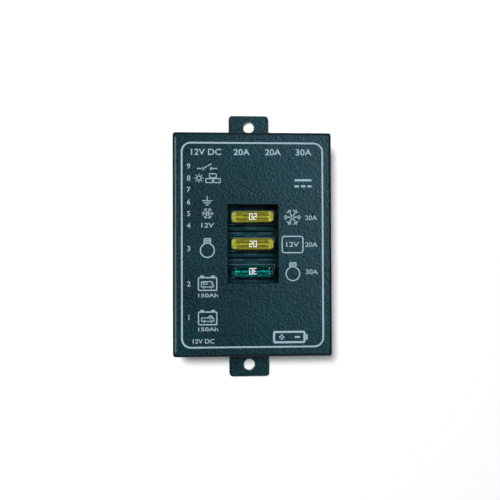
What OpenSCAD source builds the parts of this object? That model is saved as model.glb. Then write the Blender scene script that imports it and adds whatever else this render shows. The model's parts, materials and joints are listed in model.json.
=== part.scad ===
// Battery isolator relay for a motorhome's two batteries: a flat moulded case with two fixing
// tabs, nine blade terminals in its left side, three blade fuses in a window of its face, and
// a circuit board inside that carries two relays with hinged armatures.
// X is to the right, Y runs up the case and Z comes out of its face. The origin is the centre
// of the back, which is the plane it is screwed down on.

/* [Case] */
// Width of the case
case_w = 71; // [71:1:84]
// Height of the case, without its fixing tabs
case_h = 100; // [99:1:116]
// Depth of the case from its back to its face
case_t = 30; // [29.5:0.5:36]
// Thickness of the side walls
wall_t = 2; // [1.8:0.1:2.3]
// Thickness of the base's floor
floor_t = 2.2; // [2:0.1:2.6]
// Thickness of the cover's face
face_t = 2.2; // [1.8:0.1:2.6]
// Radius of the upright corners
corner_r = 1.5; // [1.3:0.1:2.4]
// Radius of the rounding round the face
edge_r = 1.2; // [0.6:0.1:1.3]
// Height of the parting line between base and cover
parting_z = 8; // [7.8:0.1:9]

/* [Fixing tabs] */
// Width of each fixing tab
ear_w = 19; // [15:1:26]
// Reach of each fixing tab past the case
ear_reach = 12.5; // [11.5:0.5:16]
// Thickness of each fixing tab
ear_t = 3; // [2.4:0.2:4]
// Radius of each fixing tab's free corners
ear_r = 1.6; // [1:0.1:3]
// Diameter of the fixing holes
fix_hole_d = 5.5; // [4:0.1:6.5]
// Distance of the fixing holes from the case wall
fix_hole_inset = 7; // [5:0.5:8]

/* [Fuse window] */
// Width of the window
window_w = 23; // [22.6:0.2:26]
// Height of the window
window_h = 35.4; // [34:0.2:36]
// Radius of the window's corners
window_r = 0.8; // [0.4:0.1:1.5]
// Thickness of the well's wall round the window
well_t = 1.2; // [1:0.1:1.4]
// Place of the window's centre across the face
window_x = 0.25; // [-1:0.25:1.5]
// Place of the window's centre along the face
window_y = 0.25; // [-0.5:0.25:0.5]
// How far the end sockets run under the window's upper and lower edge
socket_under = 0.75; // [0.6:0.05:0.9]

/* [Blade fuses] */
// Width of a fuse's head
fuse_w = 19.1; // [18.6:0.1:19.6]
// Thickness of a fuse's head
fuse_t = 5.1; // [4.8:0.1:5.3]
// Height of a fuse's head
fuse_head_h = 7.8; // [7.4:0.1:8.4]
// Height of the skirt below the head
skirt_h = 3.8; // [3.7:0.1:4.4]
// Width of a blade
blade_w = 5.2; // [5:0.1:5.4]
// Thickness of a blade
blade_t = 0.65; // [0.6:0.05:0.8]
// Length of a blade below the body
blade_len = 6.9; // [6.6:0.1:7.2]
// Distance over both blades
blade_span = 14.5; // [14.2:0.1:14.8]

/* [Fuse sockets] */
// Width of a socket
socket_w = 21.5; // [21.2:0.1:22.2]
// Height of a socket's shoulders above the board
shoulder_h = 7.9; // [7.7:0.1:8.2]
// Height of the collar above the shoulders
collar_h = 3.5; // [3:0.1:3.6]
// Thickness of the collar's long walls
collar_t = 1.1; // [0.8:0.1:1.3]

/* [Terminals] */
// Distance of the terminal row from the top of the case
comb_top_inset = 12; // [11.5:0.1:14]
// Distance of the terminal row from the bottom of the case
comb_low_inset = 9.3; // [8.8:0.1:12]
// Depth of the terminal cells
cell_depth = 9.5; // [9:0.1:10]
// Height of the terminal cells
cell_h = 12.1; // [11.5:0.1:13]
// Width of a narrow terminal's blade
signal_w = 6.3; // [4.8:0.1:6.5]
// Thickness of a narrow terminal's blade
signal_t = 0.8; // [0.5:0.1:1]
// Width of a wide terminal's blade
power_w = 9.5; // [9:0.1:10.5]
// Thickness of a wide terminal's blade
power_t = 1.2; // [1:0.1:1.4]

/* [Circuit board] */
// Thickness of the board
board_t = 1.6; // [1.4:0.1:1.8]
// Height of the standoffs under the board
standoff_h = 2.8; // [2.5:0.1:3]
// Length of the pins below the board
pin_below = 1.5; // [1:0.1:1.8]

/* [Relays] */
// Length of a relay
relay_l = 32; // [32:0.5:34]
// Room between a relay and the case wall that it is next to
relay_end_gap = 1.7; // [1.5:0.1:3]
// Height of a relay
relay_h = 19.8; // [19.6:0.1:20.4]
// Place of the relays' centres across the board
relay_x = 3; // [2.5:0.5:3.5]
// Opening angle of a relay's armature in degrees
open_angle = 3.5; // [2:0.25:3.75]
// Height of a relay's winding
coil_h = 9; // [8.6:0.1:9.2]
// Thickness of a relay's iron yoke
yoke_t = 1.4; // [1.2:0.1:1.6]

/* [Hidden] */
$fn = 64;
// How far every cut runs past the surface that it opens
over = 0.5;
// Free play between pieces that slide or slip into each other
play = 0.2;
// Free play round pins and screws in their holes
hole_play = 0.15;
// Air between pieces that must not touch
air = 0.3;

// Colours, as the photograph shows the case and the fuses
case_colour = [0.16, 0.26, 0.28];
socket_colour = [0.09, 0.15, 0.17];
board_colour = [0.05, 0.33, 0.20];
tin_colour = [0.78, 0.78, 0.76];
brass_colour = [0.80, 0.66, 0.36];
iron_colour = [0.58, 0.59, 0.61];
copper_colour = [0.72, 0.38, 0.20];
black_colour = [0.08, 0.08, 0.09];
smoke_colour = [0.15, 0.15, 0.17];
bobbin_colour = [0.88, 0.86, 0.78];
disc_colour = [0.16, 0.30, 0.66];
resistor_colour = [0.76, 0.66, 0.48];
yellow_fuse_colour = [0.80, 0.78, 0.15, 0.8];
green_fuse_colour = [0.05, 0.55, 0.42, 0.8];

// Levels of the board, its pins' ends and the face's underside
board_z = floor_t + standoff_h;
board_top = board_z + board_t;
pin_z = board_z - pin_below;
ceiling_z = case_t - face_t;

// Inside of the case, and the base's tongue that stands inside the cover
inner_w = case_w - 2 * wall_t;
inner_h = case_h - 2 * wall_t;
inner_r = 0.6;
lip_h = 1.4;
lip_t = 0.9;

// Screws that hold the cover to the base, driven from the back
case_screw_d = 2.9;
case_head_d = 5.4;
case_head_h = 2.1;
case_sink = 2.5;
case_grip = 9;
boss_r = 3.4;
post_r = 3.2;
post_inset = 2.6;
post_x = inner_w / 2 - post_inset;
post_y = inner_h / 2 - post_inset;
screw_tip = 0.8;
drive_w_share = 0.13;
drive_l_share = 0.6;
drive_depth_share = 0.55;

// Board, its corner notches and its screws
board_gap = 0.6;
board_w = inner_w - 2 * board_gap;
board_h = inner_h - 2 * board_gap;
notch = post_inset + boss_r + 2 * air - board_gap;
board_screw_d = 2.1;
board_head_d = 4.2;
board_head_h = 1.5;
standoff_r = 3;
pilot_floor = 1.2;
board_screw_gap = 1;
board_screw_inset = 4.4;
board_screw_left = (relay_x - relay_l / 2 - post_x + boss_r) / 2;
board_screw_right = (relay_x + relay_l / 2 + board_w / 2) / 2;
board_screw_end_y = board_h / 2 - board_screw_inset;
board_screw_side_y = post_y - boss_r - board_screw_gap - standoff_r;

// Levels of a fuse, from the board up
clip_base_t = 0.5;
tip_gap = 0.4;
blade_tip_z = board_top + clip_base_t + tip_gap;
fuse_base_z = blade_tip_z + blade_len;
fuse_head_z = fuse_base_z + skirt_h;
fuse_top_z = fuse_head_z + fuse_head_h;
fuse_places = [1, 0, -1];
fuse_count = len(fuse_places);

// Fuse body
fuse_end_r = 1.6;
fuse_bevel = 0.7;
skirt_inset = 1.15;
skirt_step = 0.55;
skirt_w = fuse_w - 2 * skirt_inset;
skirt_t = fuse_t - 2 * skirt_step;
test_hole_d = 1.5;
fuse_lid_t = 1.6;

// Fuse element: two blades with shoulders, joined by the arched link that melts
blade_in = blade_span / 2 - blade_w;
blade_out = blade_span / 2;
blade_mid = (blade_in + blade_out) / 2;
element_step = 1.8;
element_ear = 1.05;
element_z = fuse_head_z + element_step;
element_top_z = fuse_top_z - fuse_lid_t;
link_w = 0.9;
link_drop = 2.8;
link_room_w = 5.2;
link_room_t = 2.6;
tip_taper = 0.8;

// Fuse socket: three of them side by side, their collars within the window
socket_gap = 0.15;
collar_w = skirt_t + 2 * (play + collar_t);
fuse_pitch = (window_h + 2 * socket_under) / fuse_count;
socket_d = fuse_pitch - socket_gap;
sockets_half = fuse_pitch + socket_d / 2;
shoulder_z = board_top + shoulder_h;
collar_z = shoulder_z + collar_h;
shoulder_cut = 0.5;
rib_w = 5.6;
rib_h = 0.4;
peg_d = 1.6;
peg_inset = 1.4;
well_z = shoulder_z + rib_h + air;

// Forked clips that grip the blades
clip_t = 0.5;
clip_play = 0.05;
clip_flare = 0.25;
clip_flare_h = 0.8;
clip_top_gap = 0.4;
clip_in = blade_t / 2 + clip_play;
clip_out = clip_in + clip_t;
clip_top_z = fuse_base_z - clip_top_gap;
clip_room = clip_out + clip_flare + play;
clip_foot_w = 1;
clip_foot_share = 0.3;

// Comb that insulates the terminals
signal_count = 6;
power_count = 3;
comb_wall = 1.4;
divider_t = 1.2;
comb_recess = 0.3;
comb_x0 = -case_w / 2 + comb_recess;
comb_cell_x = comb_x0 + cell_depth;
comb_x1 = comb_cell_x + comb_wall;
comb_z0 = parting_z + play;
comb_h = cell_h + 2 * comb_wall;
comb_z1 = comb_z0 + comb_h;
signal_rows_share = 0.408;
comb_y = (comb_low_inset - comb_top_inset) / 2;
comb_span = case_h - comb_top_inset - comb_low_inset;
cells_span = comb_span - divider_t;
signal_pitch = cells_span * signal_rows_share / signal_count;
power_pitch = (cells_span - signal_count * signal_pitch) / power_count;
cells_top_y = comb_y + cells_span / 2;
comb_foot_w = 5;
comb_foot_l = 6;
comb_foot_x = comb_x1 - comb_wall - comb_foot_w / 2;
comb_foot_shares = [-0.38, 0, 0.38];

// Terminals
tip_recess = 0.8;
tip_x = comb_x0 + tip_recess;
tip_cut = 0.9;
terminal_z = comb_z0 + comb_h / 2;
leg_gap = 1.4;
leg_x = comb_x1 + leg_gap;
bend_r = 0.8;
signal_leg_w = 2.4;
signal_foot_w = 1.2;
signal_hole_d = 1.7;
power_foot_w = 2;
power_foot_share = 0.32;
power_hole_d = 2.2;
blade_hole_inset = 3.6;

// Relay casing
relay_wall = 1;
relay_base_h = 1.6;
relay_fit = 0.1;
relay_r = 1.2;
relay_gap = 1.1;
relay_near = window_h / 2 + well_t + relay_gap;
relay_w = inner_h / 2 - abs(window_y) - relay_near - relay_end_gap;
relay_step = relay_near + relay_w / 2;
relay_pin_z = pin_z - board_top;

// Relay magnet: yoke, core, bobbin and winding
yoke_share = 0.54;
yoke_w = yoke_share * relay_w;
yoke_back_gap = 1;
yoke_x = -relay_l / 2 + relay_wall + yoke_back_gap;
yoke_foot_x = 3.4;
yoke_foot_inset = 2;
yoke_foot_y = yoke_w / 2 - yoke_foot_inset;
lug_w = 4;
lug_gap = 0.7;
lug_reach = relay_w / 2 - relay_wall - lug_gap;
coil_share = 0.52;
coil_d = coil_share * relay_w;
core_share = 0.4;
core_d = core_share * coil_d;
flange_t = 1;
flange_over = 0.4;
flange_r = coil_d / 2 + flange_over;
coil_back_gap = 1.4;
coil_x = yoke_x + yoke_t + coil_back_gap + flange_r;
yoke_reach = 6;
bobbin_z = relay_base_h + yoke_t + relay_fit;
barrel_share = 0.06;
barrel_t = barrel_share * coil_d;
pole_share = 0.66;
pole_d = pole_share * coil_d;
pole_t = 1;
rivet_d = 3.4;
magnet_top = bobbin_z + 2 * flange_t + coil_h + pole_t;
coil_pin_d = 1;
coil_pin_inset = 1.3;
coil_pin_y = lug_reach - coil_pin_inset;
coil_pin_up = 0.8;

// Relay armature, its contact arm and the contacts, drawn closed and then opened
armature_t = 1.4;
armature_side = 0.5;
armature_w = yoke_w - 2 * armature_side;
armature_gap = 0.1;
armature_z = magnet_top + armature_gap;
armature_past = 1;
hinge_x = yoke_x + yoke_t / 2;
heel = 0.4;
arm_t = 0.4;
arm_w = 5;
arm_back = 2;
arm_root_x = coil_x - arm_back;
arm_side_gap = 1.1;
arm_step_x = coil_x + flange_r + arm_side_gap;
arm_drop = 2.6;
arm_z = armature_z + armature_t - arm_drop;
fixed_wall_gap = 0.8;
fixed_x = relay_l / 2 - relay_wall - fixed_wall_gap;
contact_inset = 2.5;
contact_x = fixed_x - contact_inset;
contact_d = 3.4;
contact_h = 1.1;
contact_gap = 0.1;
button_h = 0.8;
fixed_t = 0.8;
fixed_w = 6;
fixed_foot_w = 1.4;
fixed_foot_y = 2;
fixed_z = arm_z - contact_h - contact_gap - button_h;
spring_t = 0.25;
spring_w = 6;
spring_low = 3;
spring_over = 4.9;
spring_bend_r = 0.5;
spring_air = 0.55;
spring_z = armature_z + armature_t + spring_air;

// Small electronic parts: places are shares of the board's room beside the sockets, from the
// sockets' side and from their middle
lead_pitch = 2.54;
lead_d = 0.6;
field_gap = 2;
field_x = window_x + socket_w / 2 + field_gap;
field_w = board_w / 2 - field_x;
chip_w = 6.4;
chip_l = 9.8;
chip_h = 3.3;
chip_up = 0.5;
chip_row = 3 * lead_pitch;
chip_leg_w = 0.5;
chip_leg_t = 0.3;
chip_leg_shoulder = 1.4;
chip_notch_d = 1.8;
chip_notch_h = 0.4;
chip_place_shares = [0.29, 0.6];
can_share = 0.4;
can_d = can_share * field_w;
can_h = 11.5;
can_groove = 0.3;
can_groove_z = 1.6;
can_place_shares = [[0.785, 0.78], [0.785, 0.18]];
transistor_d = 4.6;
transistor_h = 4.7;
transistor_up = 1.6;
transistor_flat_share = 0.27;
transistor_place_shares = [[0.14, -0.08], [0.5, -0.08]];
disc_d = 9;
disc_t = 3.6;
disc_up = 1;
disc_place_shares = [0.8, -0.46];
row_count = 3;
row_step = 2 * sockets_half / row_count;
row_gap = 2.1;
lead_span = row_step - row_gap;
wire_share = 0.8;
diode_d = 2.7;
diode_l = 5.2;
diode_place_shares = [[0.18, -0.66], [0.46, -0.66]];
strip_x = leg_x + signal_leg_w;
strip_w = window_x - socket_w / 2 - strip_x;
resistor_share = 0.23;
resistor_d = resistor_share * strip_w;
resistor_l = 6.3;
resistor_neck_share = 0.8;
resistor_cap_share = 0.25;
resistor_slope_share = 1.3;
resistor_column_shares = [0.36, 0.72];

// Points of an arc round c from angle a0 to a1
function arc(c, r, a0, a1, n = 8) =
    [for (i = [0:n]) c + r * [cos(a0 + (a1 - a0) * i / n), sin(a0 + (a1 - a0) * i / n)]];

// Height of a narrow or a wide terminal's centre line along the side, counted from the top
function signal_y(i) = cells_top_y - (i + 0.5) * signal_pitch;
function power_y(i) = cells_top_y - signal_count * signal_pitch - (i + 0.5) * power_pitch;

// Place of a small part on the board beside the sockets, from its shares
function field(shares) = [field_x + shares[0] * field_w, window_y + shares[1] * sockets_half, 0];

// A rectangle with round corners, centred
module rounded_rect(w, h, r) {
    square([w - 2 * r, h], center = true);
    square([w, h - 2 * r], center = true);
    for (sx = [-1, 1], sy = [-1, 1])
        translate([sx * (w / 2 - r), sy * (h / 2 - r)]) circle(r);
}

// A plate with round corners between two levels
module plate(w, h, r, z0, z1) {
    translate([0, 0, z0]) linear_extrude(z1 - z0) rounded_rect(w, h, r);
}

// A plain block between two levels, centred across
module block(w, d, z0, z1) {
    translate([-w / 2, -d / 2, z0]) cube([w, d, z1 - z0]);
}

// A block between two levels and two places along X, centred in Y
module bar(x0, x1, d, z0, z1) {
    translate([x0, -d / 2, z0]) cube([x1 - x0, d, z1 - z0]);
}

// A round post between two levels
module post(r, z0, z1) {
    translate([0, 0, z0]) cylinder(r = r, h = z1 - z0);
}

// An outline drawn in X and Z, given a thickness in Y and centred
module upright(t) {
    translate([0, t / 2, 0]) rotate([90, 0, 0]) linear_extrude(t) children();
}

// Children repeated at the four corners of a rectangle
module at_corners(x, y) {
    for (sx = [-1, 1], sy = [-1, 1]) translate([sx * x, sy * y, 0]) children();
}

// Children at the board's four screws
module at_board_screws() {
    for (s = [-1, 1]) {
        translate([board_screw_left, s * board_screw_end_y, 0]) children();
        translate([board_screw_right, s * board_screw_side_y, 0]) children();
    }
}

// Children at fuse place n: 1 is the upper, 0 the middle and -1 the lower one
module at_fuse(n) {
    translate([window_x, window_y + n * fuse_pitch, 0]) children();
}

// Children at a relay's place on the board: 1 is the fridge relay, -1 the battery relay
module at_relay(n) {
    translate([relay_x, window_y + n * relay_step, board_top]) children();
}

// A screw along +Z with its head below z = 0 and a cross recess in the head
module screw(head_d, head_h, shank_d, length) {
    difference() {
        rotate_extrude() polygon([
            [0, length], [shank_d / 4, length], [shank_d / 2, length - screw_tip],
            [shank_d / 2, 0], [head_d / 2, 0], [head_d / 2, -head_h / 2],
            [head_d / 3, -head_h], [0, -head_h]
        ]);
        for (turn = [0, 90]) rotate([0, 0, turn])
            block(head_d * drive_l_share, head_d * drive_w_share,
                  -head_h - over, -head_h * (1 - drive_depth_share));
    }
}

// Outline of one fixing tab, from inside the case wall outwards along +Y
module ear_outline() {
    translate([-ear_w / 2, -wall_t]) square([ear_w, ear_reach + wall_t - ear_r]);
    translate([-ear_w / 2 + ear_r, 0]) square([ear_w - 2 * ear_r, ear_reach]);
    for (s = [-1, 1]) translate([s * (ear_w / 2 - ear_r), ear_reach - ear_r]) circle(ear_r);
}

module fixing_ears() {
    for (turn = [0, 180]) rotate([0, 0, turn]) translate([0, case_h / 2, 0])
        linear_extrude(ear_t) ear_outline();
}

module base_tongue() {
    difference() {
        plate(inner_w + 2 * lip_t, inner_h + 2 * lip_t, inner_r + lip_t,
              parting_z - over, parting_z + lip_h);
        plate(inner_w, inner_h, inner_r, floor_t, parting_z + lip_h + over);
        at_corners(post_x, post_y) post(post_r + play, parting_z, parting_z + lip_h + over);
        translate([-inner_w / 2, comb_y, 0])
            block(4 * wall_t, comb_span + 2 * play, parting_z, parting_z + lip_h + over);
    }
}

module base_shell() {
    color(case_colour) difference() {
        union() {
            difference() {
                plate(case_w, case_h, corner_r, 0, parting_z);
                plate(inner_w, inner_h, inner_r, floor_t, parting_z + over);
            }
            base_tongue();
            fixing_ears();
            at_corners(post_x, post_y) post(boss_r, floor_t / 2, parting_z);
            at_board_screws() post(standoff_r, floor_t / 2, board_z);
        }
        at_corners(post_x, post_y) {
            post(case_head_d / 2 + play, -over, case_sink);
            post(case_screw_d / 2 + hole_play, 0, parting_z + over);
        }
        at_board_screws() post(board_screw_d / 2 + hole_play / 2, pilot_floor, board_z + over);
        for (s = [-1, 1]) translate([0, s * (case_h / 2 + fix_hole_inset), 0])
            post(fix_hole_d / 2, -over, ear_t + over);
    }
}

// A slab along Y as wide as the case, its two upper edges rounded
module rounded_slab(w, l) {
    upright(l + 2 * over) {
        translate([-w / 2, parting_z - over]) square([w, case_t - edge_r - parting_z + over]);
        translate([-w / 2 + edge_r, parting_z]) square([w - 2 * edge_r, case_t - parting_z]);
        for (s = [-1, 1]) translate([s * (w / 2 - edge_r), case_t - edge_r]) circle(edge_r);
    }
}

// Outside of the cover, rounded round its face
module cover_blank() {
    intersection() {
        plate(case_w, case_h, corner_r, parting_z, case_t);
        rounded_slab(case_w, case_h);
        rotate([0, 0, 90]) rounded_slab(case_h, case_w);
    }
}

module front_cover() {
    grip_z = parting_z + case_grip + screw_tip;
    color(case_colour) difference() {
        union() {
            difference() {
                cover_blank();
                plate(inner_w, inner_h, inner_r, parting_z - over, ceiling_z);
                plate(inner_w + 2 * lip_t + play, inner_h + 2 * lip_t + play, inner_r + lip_t,
                      parting_z - over, parting_z + lip_h + play);
            }
            translate([window_x, window_y, 0])
                plate(window_w + 2 * well_t, window_h + 2 * well_t, window_r + well_t,
                      well_z, ceiling_z + face_t / 2);
            at_corners(post_x, post_y) post(post_r, parting_z, ceiling_z + face_t / 2);
        }
        translate([window_x, window_y, 0])
            plate(window_w, window_h, window_r, well_z - over, case_t + over);
        translate([-case_w / 2, comb_y, 0])
            block(4 * wall_t, comb_span + 2 * air, parting_z - over, comb_z1 + air);
        at_corners(post_x, post_y)
            post(case_screw_d / 2 + hole_play / 2, parting_z - over, grip_z);
    }
}

module case_screws() {
    color(tin_colour) at_corners(post_x, post_y) translate([0, 0, case_sink])
        screw(case_head_d, case_head_h, case_screw_d, parting_z - case_sink + case_grip);
}

module board_screws() {
    length = board_top - pilot_floor - tip_gap;
    color(tin_colour) at_board_screws() translate([0, 0, board_top]) rotate([180, 0, 0])
        screw(board_head_d, board_head_h, board_screw_d, length);
}

// Every pin and peg that passes through the board, grown by a clearance
module board_pins(grow) {
    for (n = fuse_places) at_fuse(n) {
        clip_feet(grow);
        socket_pegs(grow);
    }
    signal_feet(grow);
    power_feet(grow);
    comb_pegs(grow);
    for (n = [1, -1]) at_relay(n) relay_feet(grow);
    chip_legs(grow);
    round_leads(grow);
}

module circuit_board() {
    color(board_colour) difference() {
        block(board_w, board_h, board_z, board_top);
        at_corners(board_w / 2, board_h / 2)
            block(2 * notch, 2 * notch, board_z - over, board_top + over);
        at_board_screws()
            post(board_screw_d / 2 + hole_play, board_z - over, board_top + over);
        board_pins(hole_play);
    }
}

// Fuse socket: a wide body with chamfered shoulders and a collar round the fuse's skirt
module socket_pegs(grow) {
    for (s = [-1, 1]) translate([s * (socket_w / 2 - peg_inset), 0, 0])
        post(peg_d / 2 + grow, board_z - grow, board_top + over);
}

module fuse_socket() {
    half = socket_d / 2;
    difference() {
        union() {
            rotate([90, 0, 90]) translate([0, 0, -socket_w / 2]) linear_extrude(socket_w) polygon([
                [-half, board_top], [half, board_top], [half, shoulder_z - shoulder_cut],
                [half - shoulder_cut, shoulder_z], [-half + shoulder_cut, shoulder_z],
                [-half, shoulder_z - shoulder_cut]
            ]);
            block(socket_w, collar_w, board_top, collar_z);
            block(rib_w, socket_d - 2 * shoulder_cut, board_top, shoulder_z + rib_h);
            socket_pegs(0);
        }
        block(skirt_w + 2 * play, skirt_t + 2 * play, fuse_base_z - play, collar_z + over);
        for (s = [-1, 1]) translate([s * blade_mid, 0, 0])
            block(blade_w + 2 * play, 2 * clip_room, board_top - over, fuse_base_z);
    }
}

module fuse_socket_upper() {
    color(socket_colour) at_fuse(1) fuse_socket();
}

module fuse_socket_middle() {
    color(socket_colour) at_fuse(0) fuse_socket();
}

module fuse_socket_lower() {
    color(socket_colour) at_fuse(-1) fuse_socket();
}

// The two forked clips of a socket, with their feet through the board
module clip_feet(grow) {
    for (s = [-1, 1], f = [-1, 1])
        translate([s * blade_mid + f * clip_foot_share * blade_w, 0, 0])
            block(clip_foot_w + 2 * grow, clip_t + 2 * grow, pin_z - grow, board_top + clip_base_t / 2);
}

module fuse_clips() {
    fork = [
        [-clip_out, board_top], [clip_out, board_top], [clip_out, clip_top_z - clip_flare_h],
        [clip_out + clip_flare, clip_top_z], [clip_in + clip_flare, clip_top_z],
        [clip_in, clip_top_z - clip_flare_h], [clip_in, board_top + clip_base_t],
        [-clip_in, board_top + clip_base_t], [-clip_in, clip_top_z - clip_flare_h],
        [-clip_in - clip_flare, clip_top_z], [-clip_out - clip_flare, clip_top_z],
        [-clip_out, clip_top_z - clip_flare_h]
    ];
    for (s = [-1, 1]) translate([s * blade_mid, 0, 0])
        rotate([90, 0, 90]) translate([0, 0, -blade_w / 2]) linear_extrude(blade_w) polygon(fork);
    clip_feet(0);
}

module fuse_clips_upper() {
    color(tin_colour) at_fuse(1) fuse_clips();
}

module fuse_clips_middle() {
    color(tin_colour) at_fuse(0) fuse_clips();
}

module fuse_clips_lower() {
    color(tin_colour) at_fuse(-1) fuse_clips();
}

// Plastic body of a fuse: a head with bevelled long edges on a thinner skirt, hollow round
// its element and open above each blade's shoulder for a test probe
module fuse_body() {
    half = fuse_t / 2;
    ear_x = blade_out + element_ear;
    difference() {
        union() {
            intersection() {
                plate(fuse_w, fuse_t, fuse_end_r, fuse_head_z, fuse_top_z);
                rotate([90, 0, 90]) translate([0, 0, -fuse_w / 2]) linear_extrude(fuse_w) polygon([
                    [-half, fuse_head_z], [half, fuse_head_z], [half, fuse_top_z - fuse_bevel],
                    [half - fuse_bevel, fuse_top_z], [-half + fuse_bevel, fuse_top_z],
                    [-half, fuse_top_z - fuse_bevel]
                ]);
            }
            block(skirt_w, skirt_t, fuse_base_z, fuse_head_z + fuse_bevel);
        }
        block(blade_span + play, blade_t + play, fuse_base_z - over, element_z);
        block(2 * ear_x + play, blade_t + play, element_z - play, element_top_z + play);
        block(link_room_w, link_room_t, fuse_base_z + skirt_step, element_top_z + play);
        for (s = [-1, 1]) translate([s * (ear_x - test_hole_d / 2), 0, 0])
            post(test_hole_d / 2, element_top_z, fuse_top_z + over);
    }
}

module fuse_body_upper() {
    color(yellow_fuse_colour) at_fuse(1) fuse_body();
}

module fuse_body_middle() {
    color(yellow_fuse_colour) at_fuse(0) fuse_body();
}

module fuse_body_lower() {
    color(green_fuse_colour) at_fuse(-1) fuse_body();
}

module fuse_element() {
    middle = [0, element_top_z - link_drop];
    upright(blade_t) polygon(concat(arc(middle, blade_in + link_w / 2, 0, 180),
                                    arc(middle, blade_in - link_w / 2, 180, 0)));
    for (s = [-1, 1]) scale([s, 1, 1]) upright(blade_t) polygon([
        [blade_in + tip_taper, blade_tip_z], [blade_out - tip_taper, blade_tip_z],
        [blade_out, blade_tip_z + tip_taper], [blade_out, element_z],
        [blade_out + element_ear, element_z], [blade_out + element_ear, element_top_z],
        [blade_in, element_top_z], [blade_in, blade_tip_z + tip_taper]
    ]);
}

module fuse_element_upper() {
    color(tin_colour) at_fuse(1) fuse_element();
}

module fuse_element_middle() {
    color(tin_colour) at_fuse(0) fuse_element();
}

module fuse_element_lower() {
    color(tin_colour) at_fuse(-1) fuse_element();
}

// Comb of open cells in the side of the case, one round each terminal
module comb_cell(y, w, slot_w, slot_h) {
    translate([0, y, 0]) {
        bar(comb_x0 - over, comb_cell_x, w, comb_z0 + comb_wall, comb_z1 - comb_wall);
        bar(comb_cell_x - over, comb_x1 + over, slot_w + 2 * hole_play,
            terminal_z - slot_h / 2 - hole_play, terminal_z + slot_h / 2 + hole_play);
    }
}

module comb_pegs(grow) {
    for (share = comb_foot_shares) translate([comb_foot_x, comb_y + share * comb_span, 0])
        post(peg_d / 2 + grow, board_z - grow, board_top + over);
}

module terminal_comb() {
    color(socket_colour) {
        difference() {
            translate([0, comb_y, 0]) bar(comb_x0, comb_x1, comb_span, comb_z0, comb_z1);
            for (i = [0:signal_count - 1])
                comb_cell(signal_y(i), signal_pitch - divider_t, signal_t, signal_w);
            for (i = [0:power_count - 1])
                comb_cell(power_y(i), power_pitch - divider_t, power_w, power_t);
        }
        for (share = comb_foot_shares) translate([comb_foot_x, comb_y + share * comb_span, 0])
            block(comb_foot_w, comb_foot_l, board_top, comb_z0 + comb_wall / 2);
        comb_pegs(0);
    }
}

// Narrow terminals: flat blanks on edge, with a leg down to the board
module signal_feet(grow) {
    for (i = [0:signal_count - 1]) translate([leg_x + signal_leg_w / 2, signal_y(i), 0])
        block(signal_foot_w + 2 * grow, signal_t + 2 * grow, pin_z - grow, board_top + over);
}

module signal_terminals() {
    low = terminal_z - signal_w / 2;
    high = terminal_z + signal_w / 2;
    end = leg_x + signal_leg_w;
    color(tin_colour) {
        for (i = [0:signal_count - 1]) translate([0, signal_y(i), 0]) upright(signal_t) difference() {
            polygon([
                [tip_x, low + tip_cut], [tip_x + tip_cut, low], [leg_x, low], [leg_x, board_top],
                [end, board_top], [end, high], [tip_x + tip_cut, high], [tip_x, high - tip_cut]
            ]);
            translate([tip_x + blade_hole_inset, terminal_z]) circle(d = signal_hole_d);
        }
        signal_feet(0);
    }
}

// Wide terminals: flat blades bent down to the board behind the comb
module power_feet(grow) {
    for (i = [0:power_count - 1], s = [-1, 1])
        translate([leg_x + power_t / 2, power_y(i) + s * power_foot_share * power_w, 0])
            block(power_t + 2 * grow, power_foot_w + 2 * grow, pin_z - grow, board_top + over);
}

module power_terminal() {
    low = terminal_z - power_t / 2;
    bend = [leg_x - bend_r, low - bend_r];
    half = power_w / 2;
    difference() {
        upright(power_w) polygon(concat(
            [[leg_x, board_top]], arc(bend, bend_r, 0, 90),
            [[tip_x, low], [tip_x, low + power_t]], arc(bend, bend_r + power_t, 90, 0),
            [[leg_x + power_t, board_top]]
        ));
        translate([tip_x + blade_hole_inset, 0, 0])
            post(power_hole_d / 2, low - over, low + power_t + over);
        for (s = [-1, 1]) scale([1, s, 1]) translate([0, 0, low - over])
            linear_extrude(power_t + 2 * over) polygon([
                [tip_x - over, half - tip_cut - over], [tip_x - over, half + over],
                [tip_x + tip_cut + over, half + over]
            ]);
    }
}

module power_terminals() {
    color(tin_colour) {
        for (i = [0:power_count - 1]) translate([0, power_y(i), 0]) power_terminal();
        power_feet(0);
    }
}

// Pins of a relay through its base and the board, in the relay's own place
module relay_pins(grow, high) {
    for (s = [-1, 1]) {
        translate([yoke_x + yoke_foot_x, s * yoke_foot_y, 0])
            block(yoke_t + 2 * grow, fixed_foot_w + 2 * grow, relay_pin_z - grow, high);
        translate([fixed_x - fixed_t / 2, s * fixed_foot_y, 0])
            block(fixed_t + 2 * grow, fixed_foot_w + 2 * grow, relay_pin_z - grow, high);
        translate([coil_x, s * coil_pin_y, 0])
            post(coil_pin_d / 2 + grow, relay_pin_z - grow, high);
    }
}

module relay_feet(grow) {
    relay_pins(grow, over);
}

module relay_base() {
    inset = 2 * (relay_wall + relay_fit);
    difference() {
        block(relay_l - inset, relay_w - inset, 0, relay_base_h);
        relay_pins(hole_play, relay_base_h + over);
        bar(fixed_x - fixed_t - hole_play, fixed_x + hole_play, fixed_w + 2 * hole_play,
            relay_base_h / 2, relay_base_h + over);
        translate([coil_x, 0, 0]) post(rivet_d / 2, relay_base_h - relay_fit, relay_base_h + over);
    }
}

module relay_cover() {
    difference() {
        plate(relay_l, relay_w, relay_r, 0, relay_h);
        block(relay_l - 2 * relay_wall, relay_w - 2 * relay_wall, -over, relay_h - relay_wall);
    }
}

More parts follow.
